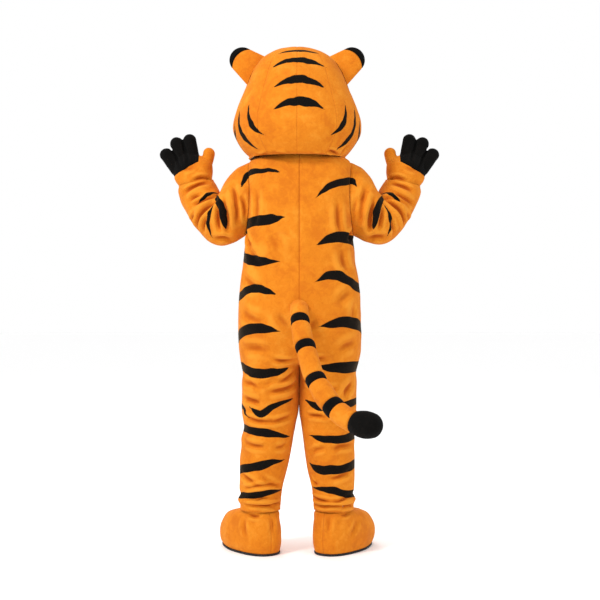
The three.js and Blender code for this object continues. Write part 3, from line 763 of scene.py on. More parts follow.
SUIT_STRIPES_LEFT = [
    {"width": 27, "points": [(68, 1457), (105, 1467), (166, 1463), (195, 1452), (215, 1420), (224, 1400)]},
    {"width": 39, "points": [(55, 1289), (120, 1278), (200, 1261)], "front": [(150, 1250), (92, 1262)]},
    {"width": 39, "points": [(75, 1114), (166, 1119), (213, 1138)], "front": [(160, 1150), (95, 1136)]},
    {"width": 35, "points": [(80, 987), (174, 1014), (231, 978)], "front": [(170, 960), (90, 975)]},
    {"width": 40, "points": [(75, 849), (174, 859), (238, 825)], "front": [(170, 812), (80, 828)]},
    {
        "width": 37, "points": [(38, 710), (100, 690), (174, 690), (219, 714)],
        "front": [(170, 726), (95, 712)],
    },
    {"width": 29, "points": [(17, 596), (97, 562), (151, 531), (193, 565)]},
    {"width": 17, "points": [(188, 508), (206, 530), (213, 555)], "front": [(195, 574), (150, 566)]},
    {"width": 31, "points": [(36, 443), (120, 455), (205, 474)], "front": [(150, 484), (80, 470)]},
    {"width": 33, "points": [(52, 359), (140, 335), (228, 315)], "front": [(160, 306), (95, 318)]},
    {"width": 27, "points": [(65, 247), (140, 225), (223, 214)], "front": [(165, 208), (110, 218)]},
]
SUIT_STRIPES_RIGHT = [
    {"width": 31, "points": [(-63, 1364), (-113, 1406), (-193, 1425), (-222, 1402)]},
    {"width": 41, "points": [(-63, 1178), (-136, 1211), (-208, 1184)], "front": [(-155, 1160), (-90, 1172)]},
    {"width": 37, "points": [(-62, 1039), (-136, 1066), (-223, 1016)], "front": [(-165, 1000), (-95, 1012)]},
    {"width": 43, "points": [(-73, 864), (-181, 886), (-235, 859)], "front": [(-170, 846), (-88, 858)]},
    {"width": 43, "points": [(-62, 714), (-150, 708), (-222, 714)], "front": [(-170, 728), (-85, 716)]},
    {
        "width": 29, "points": [(-13, 592), (-69, 562), (-140, 556), (-206, 575)],
        "front": [(-160, 590), (-100, 582)],
    },
    {"width": 31, "points": [(-36, 451), (-120, 430), (-207, 447)], "front": [(-150, 458), (-80, 446)]},
    {
        "width": 35, "points": [(-32, 348), (-71, 318), (-145, 315), (-208, 336)],
        "front": [(-150, 348), (-85, 336)],
    },
    {"width": 29, "points": [(-44, 256), (-120, 240), (-207, 226)], "front": [(-150, 216), (-95, 226)]},
]
SLEEVE_STRIPES = [
    {"width": 25, "points": [(399, 1333), (370, 1362), (343, 1378), (312, 1376)]},
    {"width": 29, "points": [(318, 1378), (305, 1335), (294, 1290), (281, 1236)], "tip": 80},
    {"width": 26, "points": [(322, 1340), (345, 1300), (350, 1262), (333, 1208)]},
    {"width": 26, "points": [(396, 1330), (362, 1358), (330, 1368)], "behind": False},
    {"width": 30, "points": [(310, 1360), (304, 1310), (284, 1250)], "behind": False},
]
HEAD_STRIPES = [
    {"width": 21, "points": [(90, 1912), (5, 1928), (-82, 1912)]},
    {"width": 28, "points": [(109, 1860), (60, 1883), (3, 1893), (-55, 1883), (-105, 1860)]},
    {"width": 35, "points": [(105, 1784), (58, 1807), (2, 1818), (-55, 1807), (-101, 1784)]},
    {"width": 39, "points": [(101, 1700), (58, 1724), (2, 1734), (-55, 1724), (-101, 1700)]},
]
for side in (1, -1):
    for width, line in [
        (25, [(184, 1733), (188, 1677), (168, 1631), (124, 1600)]),
        (25, [(218, 1711), (224, 1665), (211, 1604), (180, 1570), (146, 1547)]),
        (25, [(238, 1662), (239, 1620), (234, 1581), (207, 1547)]),
    ]:
        HEAD_STRIPES.append({"width": width, "points": [(HEAD_X + side * x, h) for x, h in line]})
    for width, line in [
        (24, [(30, 1876), (78, 1862), (112, 1832)]),
        (26, [(28, 1826), (70, 1812), (98, 1788)]),
        (24, [(226, 1700), (196, 1690), (160, 1694)]),
        (24, [(236, 1640), (205, 1624), (166, 1630)]),
        (20, [(226, 1588), (198, 1574), (168, 1580)]),
    ]:
        line = [(HEAD_X + side * x, h) for x, h in line]
        HEAD_STRIPES.append({"width": width, "points": line, "behind": False})

# x and height of both ends, bow, half width, depth, behind
SUIT_CREASES_LEFT = [
    (168, 1400, 172, 1255, -5, 11, 2.4, 1),
    (205, 1238, 188, 1175, 4, 9, 4, 1),
    (196, 1170, 142, 1098, 8, 15, 2.6, 1),
    (120, 1225, 84, 1140, -8, 18, 1.8, 1),
    (216, 1062, 150, 1012, 8, 14, 2.4, 1),
    (222, 930, 138, 884, 9, 16, 2.4, 1),
    (84, 925, 40, 860, 6, 16, 2.2, 1),
    (212, 778, 120, 772, -8, 14, 2.6, 1),
    (104, 740, 24, 735, 4, 8, 3.6, 1),
    (82, 651, 20, 692, 9, 9, 3.4, 1),
    (120, 616, 12, 646, 7, 10, 3.8, 1),
    (213, 655, 160, 630, -4, 9, 3.4, 1),
    (214, 597, 150, 574, 4, 9, 4.2, 1),
    (150, 640, 96, 662, 4, 10, 2, 1),
    (206, 522, 110, 500, 8, 8, 3.6, 1),
    (120, 500, 30, 524, 6, 8, 3.2, 1),
    (210, 424, 130, 402, 6, 9, 3.2, 1),
    (96, 398, 48, 414, 3, 8, 2.6, 1),
    (220, 300, 170, 262, 4, 8, 3.6, 1),
    (150, 290, 88, 262, 8, 8, 2.6, 1),
    (216, 244, 70, 258, -6, 6, 3.8, 1),
    (200, 205, 110, 210, 4, 6, 3, 1),
    (205, 181, 74, 191, 6, 5.5, 5.5, 1),
    (150, 172, 84, 168, -4, 5, 3.4, 1),
    (205, 1235, 176, 1160, 6, 10, 4, 0),
    (150, 1280, 128, 1180, -8, 16, 2, 0),
    (212, 1050, 130, 1000, 8, 15, 2.6, 0),
    (204, 905, 120, 930, 8, 15, 2.4, 0),
    (95, 742, 26, 732, 6, 9, 2.6, 0),
    (200, 748, 80, 700, 12, 11, 3.4, 0),
    (108, 650, 24, 686, 8, 10, 2.8, 0),
    (206, 590, 120, 560, 6, 9, 3.6, 0),
    (120, 520, 24, 540, -6, 8, 3.8, 0),
    (204, 470, 90, 440, 8, 8, 3.4, 0),
    (204, 400, 100, 380, 5, 8, 2.8, 0),
    (216, 290, 120, 262, 8, 8, 3.2, 0),
    (210, 232, 90, 240, -6, 6, 4, 0),
    (205, 188, 90, 198, 6, 5.5, 5, 0),
]
SUIT_CREASES_RIGHT = [
    (-148, 1350, -160, 1215, 5, 12, 3.0, 1),
    (-206, 1236, -190, 1200, 3, 8, 4, 1),
    (-163, 1165, -188, 1074, 6, 15, 3.0, 1),
    (-198, 1000, -150, 952, 6, 15, 2.2, 1),
    (-214, 945, -204, 890, 4, 12, 2.0, 1),
    (-218, 808, -150, 770, 8, 15, 2.4, 1),
    (-70, 900, -44, 850, 5, 15, 2.2, 1),
    (-98, 744, -24, 737, 5, 8, 3.2, 1),
    (-206, 655, -172, 592, 6, 12, 3.6, 1),
    (-84, 640, -18, 672, -7, 9, 3.6, 1),
    (-150, 628, -92, 604, 5, 10, 2.6, 1),
    (-102, 518, -28, 524, 5, 7, 4, 1),
    (-204, 520, -122, 498, 6, 8, 3.4, 1),
    (-206, 412, -128, 392, 7, 9, 2.8, 1),
    (-100, 400, -44, 384, 4, 8, 2.4, 1),
    (-44, 288, -66, 258, 3, 7, 4, 1),
    (-112, 280, -194, 312, 7, 9, 3.2, 1),
    (-50, 214, -120, 196, 6, 6, 4.6, 1),
    (-112, 192, -190, 214, 8, 6, 4, 1),
    (-56, 188, -204, 188, 9, 5.5, 4.6, 1),
    (-160, 168, -206, 178, -3, 5, 4.5, 1),
] + mirrored_rows([row for row in SUIT_CREASES_LEFT if row[-1] == 0], 11)
SLEEVE_CREASES = [
    (441, 1383, 352, 1421, -8, 8, 5, 1),
    (428, 1346, 374, 1374, -5, 8, 4, 1),
    (318, 1366, 420, 1330, 5, 8, 4, 1),
    (322, 1350, 395, 1250, 16, 9, 6, 1),
    (358, 1290, 368, 1232, 3, 7, 4, 1),
    (404, 1300, 418, 1262, 3, 8, 3, 1),
    (316, 1330, 308, 1236, 3, 8, 5.5, 1),
    (296, 1356, 276, 1238, -6, 9, 5.5, 1),
    (257, 1404, 240, 1268, -7, 10, 5.5, 1),
    (228, 1378, 209, 1284, -5, 9, 5, 1),
    (330, 1205, 262, 1200, -5, 10, 3, 1),
    (440, 1378, 352, 1410, -8, 8, 4.5, 0),
    (322, 1356, 410, 1300, 10, 9, 5, 0),
    (316, 1340, 340, 1236, 6, 9, 5.5, 0),
    (298, 1350, 268, 1240, -6, 9, 5.5, 0),
    (256, 1400, 236, 1270, -6, 10, 5, 0),
    (428, 1340, 372, 1362, -4, 8, 3.5, 0),
]
HEAD_CREASES = [
    (-150, 1524, -106, 1544, 5, 6, 3.5, 1),
    (-190, 1560, -160, 1528, 4, 9, 2.2, 1),
    (160, 1526, 118, 1534, 4, 7, 2.4, 1),
    (40, 1524, 96, 1532, 3, 8, 1.8, 1),
    (-40, 1524, -86, 1530, 3, 8, 1.8, 1),
    (150, 1526, 90, 1540, 5, 8, 2.4, 0),
    (-130, 1526, -84, 1540, 5, 8, 2.4, 0),
]
BOOT_CREASES = [
    (214, 132, 204, 60, 5, 9, 2.2, 1),
    (110, 138, 104, 70, -4, 9, 1.8, 1),
    (196, 146, 150, 139, 5, 7, 3, 1),
    (236, 120, 222, 50, 6, 11, 2.2, 0),
    (200, 146, 120, 132, -6, 9, 4, 0),
    (180, 124, 120, 112, -5, 10, 2.6, 0),
]
HAND_CREASES = [
    (409, 1427, 349, 1434, -8, 7, 3, 1),
    (352, 1437, 337, 1418, 3, 7, 2, 1),
    (452, 1470, 404, 1486, 5, 8, 2, 1),
    (400, 1430, 350, 1436, -8, 7, 4, 0),
    (440, 1440, 400, 1452, 5, 8, 3, 0),
]

FINGER_CREASES = [
    (494, 1551, 446, 1462, 0, 5, 1.9, 1),
    (449, 1579, 421, 1472, 0, 5, 1.9, 1),
    (503, 1562, 452, 1470, 0, 5, 1.7, 0),
    (457, 1590, 428, 1482, 0, 5, 1.7, 0),
]

# ---------------------------------------------------------------- suit and sleeves


def suit_heights():
    """Rows of the suit from neck to hem, close together at the ends of the armhole and at the crotch."""
    armhole = ARMHOLE_HEIGHT + ARMHOLE_HALF_HEIGHT * np.sin(np.linspace(-np.pi / 2, np.pi / 2, 41))
    crotch = CROTCH + (SEAT - CROTCH) * np.linspace(0, 1, 24) ** 2
    heights = np.unique(np.concatenate([armhole, crotch, np.arange(HEM, NECK_TOP, 5.5), [NECK_TOP]]))[::-1]
    kept = [heights[0]]
    for height in heights[1:-1]:
        if kept[-1] - height > 1.3:
            kept.append(height)
    return np.array(kept + [HEM])


def inset(grid):
    """Both long edges stay a hair short of their neighbours."""
    grid = grid.copy()
    for edge, beside in ((0, 1), (-1, -2)):
        step = grid[:, beside] - grid[:, edge]
        grid[:, edge] += 0.01 * step / np.maximum(np.linalg.norm(step, axis=1, keepdims=True), 1e-9)
    return grid


def suit_grid(behind):
    heights = suit_heights()[:, None]
    side = armhole_turn(heights, behind)
    along = clustered(58, 0.78)[None, :]
    turn = side * along if behind else side + (1 - side) * along
    return inset(suit_point(heights + 0 * turn, turn))


def add_suit():
    back, front = suit_grid(True), suit_grid(False)
    angle = np.linspace(0, 2 * np.pi, 104, endpoint=False)[None, :]
    arm = sleeve_point(np.linspace(0, 8, 92)[:, None], angle)
    for _ in range(6):
        arm[1:-1] = 0.5 * arm[1:-1] + 0.25 * (arm[:-2] + arm[2:])
    for side, grids, sleeve, stripes, creases, arm_stripes, arm_creases in (
        ("left", (back, front), arm, SUIT_STRIPES_LEFT, SUIT_CREASES_LEFT, SLEEVE_STRIPES, SLEEVE_CREASES),
        (
            "right", (flipped(back)[:, ::-1], flipped(front)[:, ::-1]), flipped(arm)[:, ::-1],
            SUIT_STRIPES_RIGHT, SUIT_CREASES_RIGHT,
            [{**row, "points": [(-x, height) for x, height in row["points"]]} for row in SLEEVE_STRIPES],
            mirrored_rows(SLEEVE_CREASES, 5),
        ),
    ):
        grids = [swayed(grid) for grid in grids]
        surface, tube = whole(*grids), whole(sleeve, is_tube=True)
        shoulder = stripe_lines([np.concatenate(pair) for pair in zip(surface, tube)], stripes[:1])
        lines, folds = shoulder + stripe_lines(surface, stripes[1:]), crease_lines(surface, creases)
        for word, grid in zip(("back", "front"), grids):
            plain_edge = 0 if (word == "back") == (side == "left") else 1
            cloth(
                f"suit_{word}_{side}", grid, SUIT_CLOTH, False, lines, folds, 2.4,
                plain_edge=plain_edge,
            )
        cloth(
            f"sleeve_{side}", sleeve, SUIT_CLOTH, True,
            shoulder + stripe_lines(tube, arm_stripes), crease_lines(tube, arm_creases), 2.4, gathered=6.0,
        )


# ---------------------------------------------------------------- head


def add_head():
    ring = np.linspace(0, 14, 126)[:, None]
    grids = []
    for name, start, end in HEAD_GORES:
        columns = int(round((end - start) * 150)) + 8
        turn = start + (end - start) * clustered(columns, 0.6)[None, :]
        grids.append(inset(head_point(ring + 0 * turn, turn + 0 * ring)))
    surface = whole(*grids)
    lines, folds = stripe_lines(surface, HEAD_STRIPES), crease_lines(surface, HEAD_CREASES)
    for (name, start, end), grid in zip(HEAD_GORES, grids):
        cloth(
            name, grid, HEAD_CLOTH, False, lines, folds, 1.4, seam_depth=0.8, seam_reach=2.2,
        )


def outside_head(points, clearance):
    """Points that are inside the head come out to its surface, level."""
    rings = np.linspace(0, 14, 200)
    section = HEAD.at(rings)
    height = np.clip(points[:, 2], section["height"].min(), section["height"].max())
    order = np.argsort(section["height"])
    heights = section["height"][order]
    size = {key: np.interp(height, heights, section[key][order]) for key in ("half_width", "back", "front")}
    x, y = points[:, 0] - HEAD_X, points[:, 1]
    depth = np.where(y > 0, size["back"], size["front"])
    squared = np.abs(x / size["half_width"]) ** HEAD_SQUARENESS + np.abs(y / depth) ** HEAD_SQUARENESS
    reach = np.maximum(squared, 1e-6) ** (1 / HEAD_SQUARENESS)
    level = points[:, 2] < section["height"].max()
    radius = np.maximum(np.hypot(x, y), 1e-6)
    grow = np.where(level & (reach < 1 + clearance / radius), (1 + clearance / radius) / reach, 1)
    moved = points.copy()
    moved[:, 0] = HEAD_X + x * grow
    moved[:, 1] = y * grow
    return moved


def ball(count_round, count_down):
    """Unit sphere: points and faces."""
    turn = np.linspace(0, 2 * np.pi, count_round, endpoint=False)
    down = np.linspace(0, np.pi, count_down + 2)[1:-1]
    out = np.sin(down)[:, None]
    rings = np.stack([out * np.cos(turn), out * np.sin(turn), np.cos(down)[:, None] + 0 * turn], -1)
    return closed_tube(rings, [0, 0, 1], [0, 0, -1])


def closed_tube(rings, first, last):
    """Points and faces of a tube closed by a point at each end."""
    count, columns = rings.shape[:2]
    points = np.concatenate([rings.reshape(-1, 3), [first, last]])
    j = np.arange(columns)
    after = (j + 1) % columns
    end = (count - 1) * columns
    caps = [[int(a), int(b), count * columns] for a, b in zip(after, j)]
    caps += [[int(end + a), int(end + b), count * columns + 1] for a, b in zip(j, after)]
    return points, grid_quads(count, columns, True).tolist() + caps


# name, x, y, height, half width, half depth, half height, slot, fill
FACE = [
    ("muzzle_left", 43, -205, 1606, 58, 78, 52, "cream_plush", 0.8),
    ("muzzle_right", -43, -205, 1606, 58, 78, 52, "cream_plush", 0.8),
    ("chin", 0, -186, 1553, 50, 62, 34, "cream_plush", 0.7),
    ("nose", 0, -266, 1654, 34, 30, 22, "nose_cloth", 0.9),
    ("eye_left", 82, -178, 1716, 34, 32, 42, "eye_mesh", 0.9),
    ("eye_right", -82, -178, 1716, 34, 32, 42, "eye_mesh", 0.9),
]


def add_face():
    """A plain muzzle, nose and eyes of no particular tiger."""
    for name, x, y, height, across, deep, high, slot, fill in FACE:
        points, faces = ball(72, 44)
        shape = points.copy()
        if name == "nose":
            shape[:, 0] *= 0.62 + 0.38 * smooth(points[:, 2], -0.9, 0.55)
            shape[:, 2] -= 0.10 * np.exp(-((points[:, 0] / 0.25) ** 2)) * (points[:, 2] > 0)
        if name.startswith("eye"):
            shape[:, 0] *= 1 - 0.16 * np.clip(points[:, 2], 0, 1)
        where = shape * [across, deep, high] + [x + HEAD_X, y, height]
        if name.startswith("muzzle"):
            inward = -1 if name == "muzzle_left" else 1
            meet = HEAD_X + 0.25 * -inward
            where[:, 0] = (np.maximum if inward < 0 else np.minimum)(where[:, 0], meet)
            where[:, 2] -= 5 * np.exp(-(((where[:, 0] - x - HEAD_X) / 20) ** 2)) * (points[:, 2] > 0.4)
        if name == "chin":
            _, muzzle_x, muzzle_y, muzzle_z, wide, long, tall = FACE[0][:7]
            aside = (np.abs(where[:, 0] - HEAD_X) - muzzle_x) / wide
            room = np.maximum(0, 1 - aside ** 2 - ((where[:, 1] - muzzle_y) / long) ** 2)
            where[:, 2] = np.minimum(where[:, 2], muzzle_z - 0.98 * tall * np.sqrt(room))
        where += 0.9 * unevenness(where)[:, None] * points
        where = outside_head(where, 0.9)
        stuffed(name, where, faces, slot, fill, **plain_attributes(len(where)))


def ear_shape(is_tip):
    """Front and back of the left ear's pad about its cap's centre, within or beyond the tip's seam."""
    cap, crown, root = [np.array(EAR[key], float) for key in ("cap", "crown", "root")]
    discs = root + np.linspace(0, 1, 24)[:, None] * (crown - root) - [cap[0], cap[1], 0]
    lean = math.atan2(crown[1] - root[1], crown[0] - root[0])
    phi = lean + np.linspace(-np.pi, np.pi, 144, endpoint=False)
    direction = np.stack([np.cos(phi), np.sin(phi)], 1)
    along = direction @ discs[:, :2].T
    room = discs[:, 2] ** 2 - (discs[:, :2] ** 2).sum(1) + along ** 2
    outer = np.where(room > 0, along + np.sqrt(np.maximum(room, 0)), 0).max(1)
    on_tip = (outer > cap[2] + 1.2) & (np.cos(phi - lean) > 0)
    if is_tip:
        direction, outer = direction[on_tip], outer[on_tip]
        low, high = cap[2] + 0.3, outer
        share = np.linspace(0, 1, 12)
    else:
        low, high = 0, np.where(on_tip, cap[2], outer)
        share = np.linspace(0.03, 1, 30)
    radius = low + (high - low) * share[:, None]
    flat = radius[..., None] * direction
    reach = ((flat[..., None, :] - discs[:, :2]) ** 2).sum(-1) / discs[:, 2] ** 2
    thick = EAR["half_thick"] * np.sqrt(np.maximum(1 - reach.min(-1), 0.0009))
    edge = np.abs(radius - cap[2]) if is_tip else np.where(on_tip, np.abs(radius - cap[2]), 60.0)
    thick = thick * (1 - 0.32 * np.exp(-((edge / 2.5) ** 2)))
    return flat, thick, edge


def add_ears():
    for is_tip, word, slot in ((False, "base", "orange_plush"), (True, "tip", "black_plush")):
        flat, thick, edge = ear_shape(is_tip)
        back = np.stack([flat[..., 0], thick, flat[..., 1]], -1)
        front = np.stack([flat[..., 0], -thick, flat[..., 1]], -1)
        rings, edges = np.concatenate([back, front[::-1]]), np.concatenate([edge, edge[::-1]])
        if is_tip:
            rings, edges = rings.transpose(1, 0, 2), edges.T
        points, faces = closed_tube(rings, rings[0].mean(0), rings[-1].mean(0))
        seam = np.append(np.exp(-((edges / 3) ** 2)).ravel(), [0, 0])
        dish = 5 * np.exp(-((np.linalg.norm(points[:, [0, 2]], axis=1) / 40) ** 2))
        points = points + np.stack([0 * dish, np.where(points[:, 1] < 0, dish, 0), 0 * dish], 1)
        points = points + 0.7 * unevenness(points * 1.7)[:, None] * [0, 1, 0]
        for side, sign in (("left", 1), ("right", -1)):
            where = points * [sign, 1, 1] + [HEAD_X + sign * EAR["cap"][0], EAR["y"], EAR["cap"][1]]
            where = outside_head(where, 0.9)
            marks = {**plain_attributes(len(where)), "seam": seam}
            stuffed(f"ear_{side}_{word}", where, faces, slot, 0.5, **marks)


# ---------------------------------------------------------------- gloves


def hand_hull():
    row = HAND.at(np.linspace(0, 5, 22))
    angle = np.linspace(0, 2 * np.pi, 40, endpoint=False)[:, None]
    behind = np.array([0, 1, 0])
    rings = []
    for k, lean in enumerate(row["lean"]):
        sideways = np.array([math.cos(lean), 0, -math.sin(lean)])
        centre = np.array([row["x"][k], row["y"][k], row["height"][k]])
        across = sideways * row["half_width"][k] * np.cos(angle)
        rings.append(centre + across + behind * row["half_depth"][k] * np.sin(angle))
    start = rings[0] - [3, 0, 16]
    rings = np.array([start] + rings)
    return closed_tube(rings, rings[0].mean(0), rings[-1].mean(0))


def finger_hull(base_x, base_height, tip_x, tip_height, radius):
    points, faces = ball(32, 22)
    base = np.array([base_x, FINGER_Y, base_height], float)
    tip = np.array([tip_x, FINGER_Y, tip_height], float)
    along = (tip - base) / np.linalg.norm(tip - base)
    middle = (base + tip) / 2
    side = np.cross(along, [0, 1, 0])
    turned = points[:, :1] * side + points[:, 1:2] * [0, 1, 0] + points[:, 2:] * along
    half = np.linalg.norm(tip - base) / 2
    stretch = np.where(points[:, 2:] > 0, 1, -1) * half * along
    return middle + turned * radius * [1, 0.96, 1] + stretch, faces


def evaluated(obj):
    """The mesh of an object with its modifiers applied."""
    graph = bpy.context.evaluated_depsgraph_get()
    mesh = bpy.data.meshes.new_from_object(obj.evaluated_get(graph))
    bpy.data.objects.remove(obj)
    return mesh


def glove_mesh():
    """One remeshed skin over palm, fingers and thumb, in millimetres."""
    points, faces = [], []
    count = 0
    for hull_points, hull_faces in [hand_hull()] + [finger_hull(*finger) for finger in [*FINGERS, THUMB]]:
        points.append(hull_points)
        faces += [[corner + count for corner in face] for face in hull_faces]
        count += len(hull_points)
    mesh = bpy.data.meshes.new("glove_skin")
    mesh.from_pydata(np.concatenate(points).tolist(), [], faces)
    obj = linked("glove_skin", mesh)
    remesh = obj.modifiers.new("remesh", "REMESH")
    remesh.mode = "VOXEL"
    remesh.voxel_size = 2.7
    soften = obj.modifiers.new("soften", "SMOOTH")
    soften.factor = 0.6
    soften.iterations = 3
    return evaluated(obj)


def shell(mesh):
    """Points and normals of an open mesh, faces with inner wall and rims, which are inner, and the edge."""
    edit = bmesh.new()
    edit.from_mesh(mesh)
    edit.normal_update()
    edit.verts.ensure_lookup_table()
    points = np.array([v.co for v in edit.verts])
    normals = np.array([v.normal for v in edit.verts])
    outside = [[v.index for v in face.verts] for face in edit.faces]
    open_loops = [e.link_loops[0] for e in edit.edges if len(e.link_faces) == 1]
    rims = [(loop.vert.index, loop.link_loop_next.vert.index) for loop in open_loops]
    edit.free()
    count = len(points)
    faces = outside + [[i + count for i in face[::-1]] for face in outside]
    faces += [[b, a, a + count, b + count] for a, b in rims]
    is_inner = np.zeros(len(faces), int)
    is_inner[len(outside):2 * len(outside)] = 1
    edge = np.zeros(count)
    edge[list({i for pair in rims for i in pair})] = 1
    return points, normals, faces, is_inner, edge


def add_gloves():
    skin = glove_mesh()
    fork = Vector((FINGER_SEAM["fork"][0], 0, FINGER_SEAM["fork"][1]))
    across = Vector((-FINGER_SEAM["slope"], 0, 1)).normalized()
    edit = bmesh.new()
    edit.from_mesh(skin)
    cuts = ((CUFF, (-0.2, 0, -1), True), (fork, across, False), (fork, (1, 0, 0), False))
    for place, facing, clears in cuts:
        geom = edit.verts[:] + edit.edges[:] + edit.faces[:]
        bmesh.ops.bisect_plane(edit, geom=geom, plane_co=place, plane_no=facing, clear_outer=clears)
    for part, slot in (("hand", "orange_plush"), ("fingers", "black_plush")):
        piece = edit.copy()
        drop = []
        for face in piece.faces:
            middle = face.calc_center_median()
            beyond = (middle - fork).dot(across) > 0 and middle.x > fork.x
            if beyond != (part == "fingers"):
                drop.append(face)
        bmesh.ops.delete(piece, geom=drop, context="FACES")
        bmesh.ops.triangulate(piece, faces=[face for face in piece.faces if len(face.verts) > 4])
        mesh = bpy.data.meshes.new("glove_part")
        piece.to_mesh(mesh)
        piece.free()
        points, normals, faces, is_inner, edge = shell(mesh)
        rim = points[edge > 0]
        near = np.full(len(points), 1e3)
        for start in range(0, len(rim), 200):
            gap = np.linalg.norm(points[:, None] - rim[None, start:start + 200], axis=2).min(1)
            near = np.minimum(near, gap)
        cuff = points @ CUFF_UP < np.array(CUFF) @ CUFF_UP + CUFF_WIDTH
        seam = np.where(cuff, 0, np.exp(-((near / 3) ** 2)))
        rows = HAND_CREASES if part == "hand" else FINGER_CREASES
        crease = creased(points, crease_lines((points, normals), rows))
        shift = crease + 1.3 * unevenness(points * 1.5) * np.clip(near / 10, 0, 1) - 1.8 * seam
        outer = points + normals * shift[:, None]
        inner = points + normals * (np.minimum(shift, 0) - GLOVE_CLOTH)[:, None]
        both = np.concatenate([outer, inner])
        marks = wall_attributes(stripe=np.full(len(points), NO_STRIPE), crease=crease, seam=seam)
        for side, sign in (("left", 1), ("right", -1)):
            name = f"glove_{side}_{part}"
            materials = [MATERIALS[slot], MATERIALS["lining"]]
            obj = made(name + "_cloth", both * [sign, 1, 1], faces, materials, is_inner, **marks)
            stands_for(obj, name)
        bpy.data.meshes.remove(mesh)
    edit.free()
    bpy.data.meshes.remove(skin)


# ---------------------------------------------------------------- boots and tail


def add_boots():
    ring = np.linspace(8, 0, 84)[:, None]
    halves = []
    for start, end in ((0, 1), (1, 2)):
        turn = start + (end - start) * clustered(96, 0.7)[None, :]
        halves.append(inset(boot_point(ring + 0 * turn, turn + 0 * ring)))
    for side, grids, rows in (
        ("left", [grid + [SWAY, 0, 0] for grid in halves], BOOT_CREASES),
        ("right", [flipped(grid)[:, ::-1] + [SWAY, 0, 0] for grid in halves], mirrored_rows(BOOT_CREASES, 3)),
    ):
        folds = crease_lines(whole(*grids), rows)
        for word, grid in zip(("lateral", "medial"), grids):
            cloth(
                f"boot_{side}_{word}", grid, BOOT_CLOTH, False, (), folds, 1.8,
                sewn_ends=(False, True), seam_depth=1.6, seam_reach=2.6,
            )
    turn = np.linspace(0, 2, 160, endpoint=False)
    rim = boot_point(np.zeros(160), turn)
    middle = rim.mean(0)
    out = (rim - middle) * [1, 1, 0]
    out /= np.linalg.norm(out, axis=1, keepdims=True)
    rings = np.array([rim * [1, 1, 0] + out * reach + [0, 0, height] for height, reach in SOLE])
    groove = 0.35 * np.sin(np.arange(160) * 2 * np.pi / 4)[None, :, None] * out[None]
    rings[3:7] += groove
    points, faces = closed_tube(rings, middle * [1, 1, 0], middle * [1, 1, 0] + [0, 0, 8])
    for side, sign in (("left", 1), ("right", -1)):
        name = f"boot_{side}_sole"
        where = points * [sign, 1, 1] + [SWAY, 0, 0]
        stands_for(made(name + "_rubber", where, faces, [MATERIALS["sole_rubber"]]), name)


def tail_radius(name, start, middle, end, f):
    bulge = 4 * f * (1 - f) * (middle - (start + end) / 2)
    if name == "tail_tip":
        blunt = np.sqrt(1 - np.clip((f - 0.7) / 0.3, 0, 1) ** 3)
        return (start + (end - start) * f ** 4 + 0.6 * bulge) * blunt
    return start + (end - start) * f + bulge


def add_tail():
    line = spline(TAIL_PATH, 500)
    travelled = np.concatenate([[0], np.cumsum(np.linalg.norm(np.diff(line, axis=0), axis=1))])
    length = travelled[-1]
    for name, start_at, end_at, *radii, colour in TAIL_PIECES:
        piece_length = (end_at - start_at) * length
        f = clustered(int(piece_length / 3.6) + 10, 0.75)
        at = start_at * length + 0.15 + f * (piece_length - 0.3)
        centre, ahead, behind = [
            np.stack([np.interp(at + step, travelled, line[:, k]) for k in range(3)], 1)
            for step in (0, 1, -1)
        ]
        forward = ahead - behind
        forward /= np.linalg.norm(forward, axis=1, keepdims=True)
        sideways = np.cross([0, 0, 1], forward)
        sideways /= np.linalg.norm(sideways, axis=1, keepdims=True)
        upward = np.cross(forward, sideways)
        end_distance = np.minimum(f, 1 - f) * piece_length
        if name == "tail_tip":
            end_distance = f * piece_length
        if name == "tail_root":
            end_distance = (1 - f) * piece_length
        seam = np.exp(-((end_distance / 3.2) ** 2))
        radius = tail_radius(name, *radii, f) - 2.4 * seam
        angle = np.linspace(0, 2 * np.pi, 76, endpoint=False)
        across, rising = np.cos(angle)[None, :, None], np.sin(angle)[None, :, None]
        spoke = sideways[:, None] * across + upward[:, None] * rising
        rings = centre[:, None] + radius[:, None, None] * spoke
        out = rings - centre[:, None]
        out /= np.maximum(np.linalg.norm(out, axis=2, keepdims=True), 1e-6)
        hold = np.clip(end_distance / 12, 0, 1)[:, None]
        rings = rings + out * (1.8 * unevenness(rings * 1.3) * hold)[..., None]
        points, faces = closed_tube(rings, centre[0], centre[-1])
        if name == "tail_root":
            points = outside_torso(points, 0.9)
        seam = np.append(np.repeat(seam, len(angle)), [1, 1])
        marks = {**plain_attributes(len(points)), "seam": seam}
        stuffed(name, points, faces, colour + "_plush", 0.7, **marks)


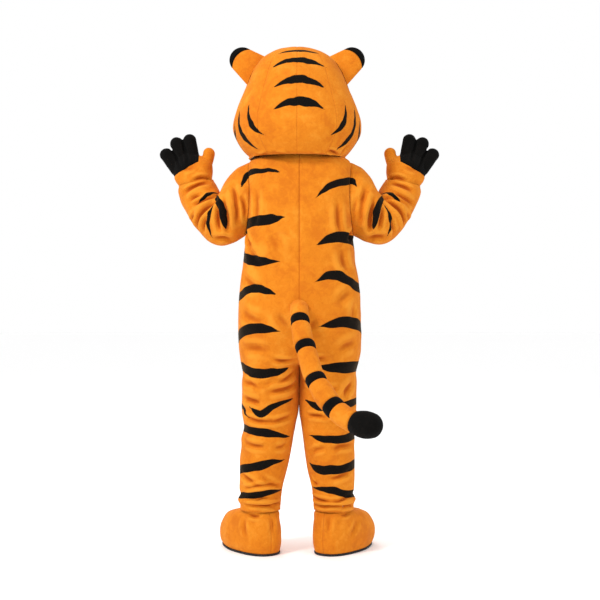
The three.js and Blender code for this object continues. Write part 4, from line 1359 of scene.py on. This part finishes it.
def outside_torso(points, clearance):
    """Points that are inside the suit's back come out to its surface."""
    turn = np.linspace(0, 0.5, 60)
    out = points.copy()
    for k, p in enumerate(points):
        section = suit_point(np.full(60, p[2]), turn)
        surface = np.interp(abs(p[0]), section[:, 0], section[:, 1])
        out[k, 1] = max(p[1], surface + clearance)
    return out


add_suit()
add_head()
add_face()
add_ears()
add_gloves()
add_boots()
add_tail()

# ---------------------------------------------------------------- studio

bpy.ops.mesh.primitive_plane_add(size=60, location=(0, 0, FLOOR))
floor = bpy.context.object
floor.name = "studio_floor"
paper = Nodes("studio_paper")
grain = paper.mix(paper.noise(1.5, 2), (0.99, 0.99, 0.99, 1), (0.995, 0.995, 0.995, 1))
floor.data.materials.append(paper.finish(grain, Roughness=0.9))

world = bpy.data.worlds.new("studio")
bpy.context.scene.world = world
world.use_nodes = True
world.node_tree.nodes["Background"].inputs["Color"].default_value = (1, 1, 1, 1)
world.node_tree.nodes["Background"].inputs["Strength"].default_value = 1.0

CAMERA_X, CAMERA_DISTANCE, CAMERA_HEIGHT, LENS = -0.002, 4.4, 0.969, 68.65


def soft_light(name, place, size, watts, aim):
    data = bpy.data.lights.new(name, "AREA")
    data.shape = "DISK"
    data.size = size
    data.energy = watts
    light = bpy.data.objects.new(name, data)
    bpy.context.scene.collection.objects.link(light)
    light.location = place
    light.rotation_euler = (Vector(aim) - Vector(place)).to_track_quat("-Z", "Y").to_euler()
    return light


soft_light("key", (2.3, 2.3, 2.3), 0.9, 95, (0, 0, -0.5))
soft_light("fill", (-2.6, 2.2, 0.9), 1.8, 14, (0, 0, -0.6))
soft_light("far_side", (0.8, -3.4, 1.6), 2.2, 50, (0, 0, -0.5))

camera = bpy.data.objects.new("camera", bpy.data.cameras.new("camera"))
bpy.context.scene.collection.objects.link(camera)
camera.location = (CAMERA_X, CAMERA_DISTANCE, FLOOR + CAMERA_HEIGHT)
camera.rotation_euler = (math.pi / 2, 0, math.pi)
camera.data.sensor_width = 36
camera.data.lens = LENS
bpy.context.scene.camera = camera
bpy.context.scene.view_settings.view_transform = "Standard"
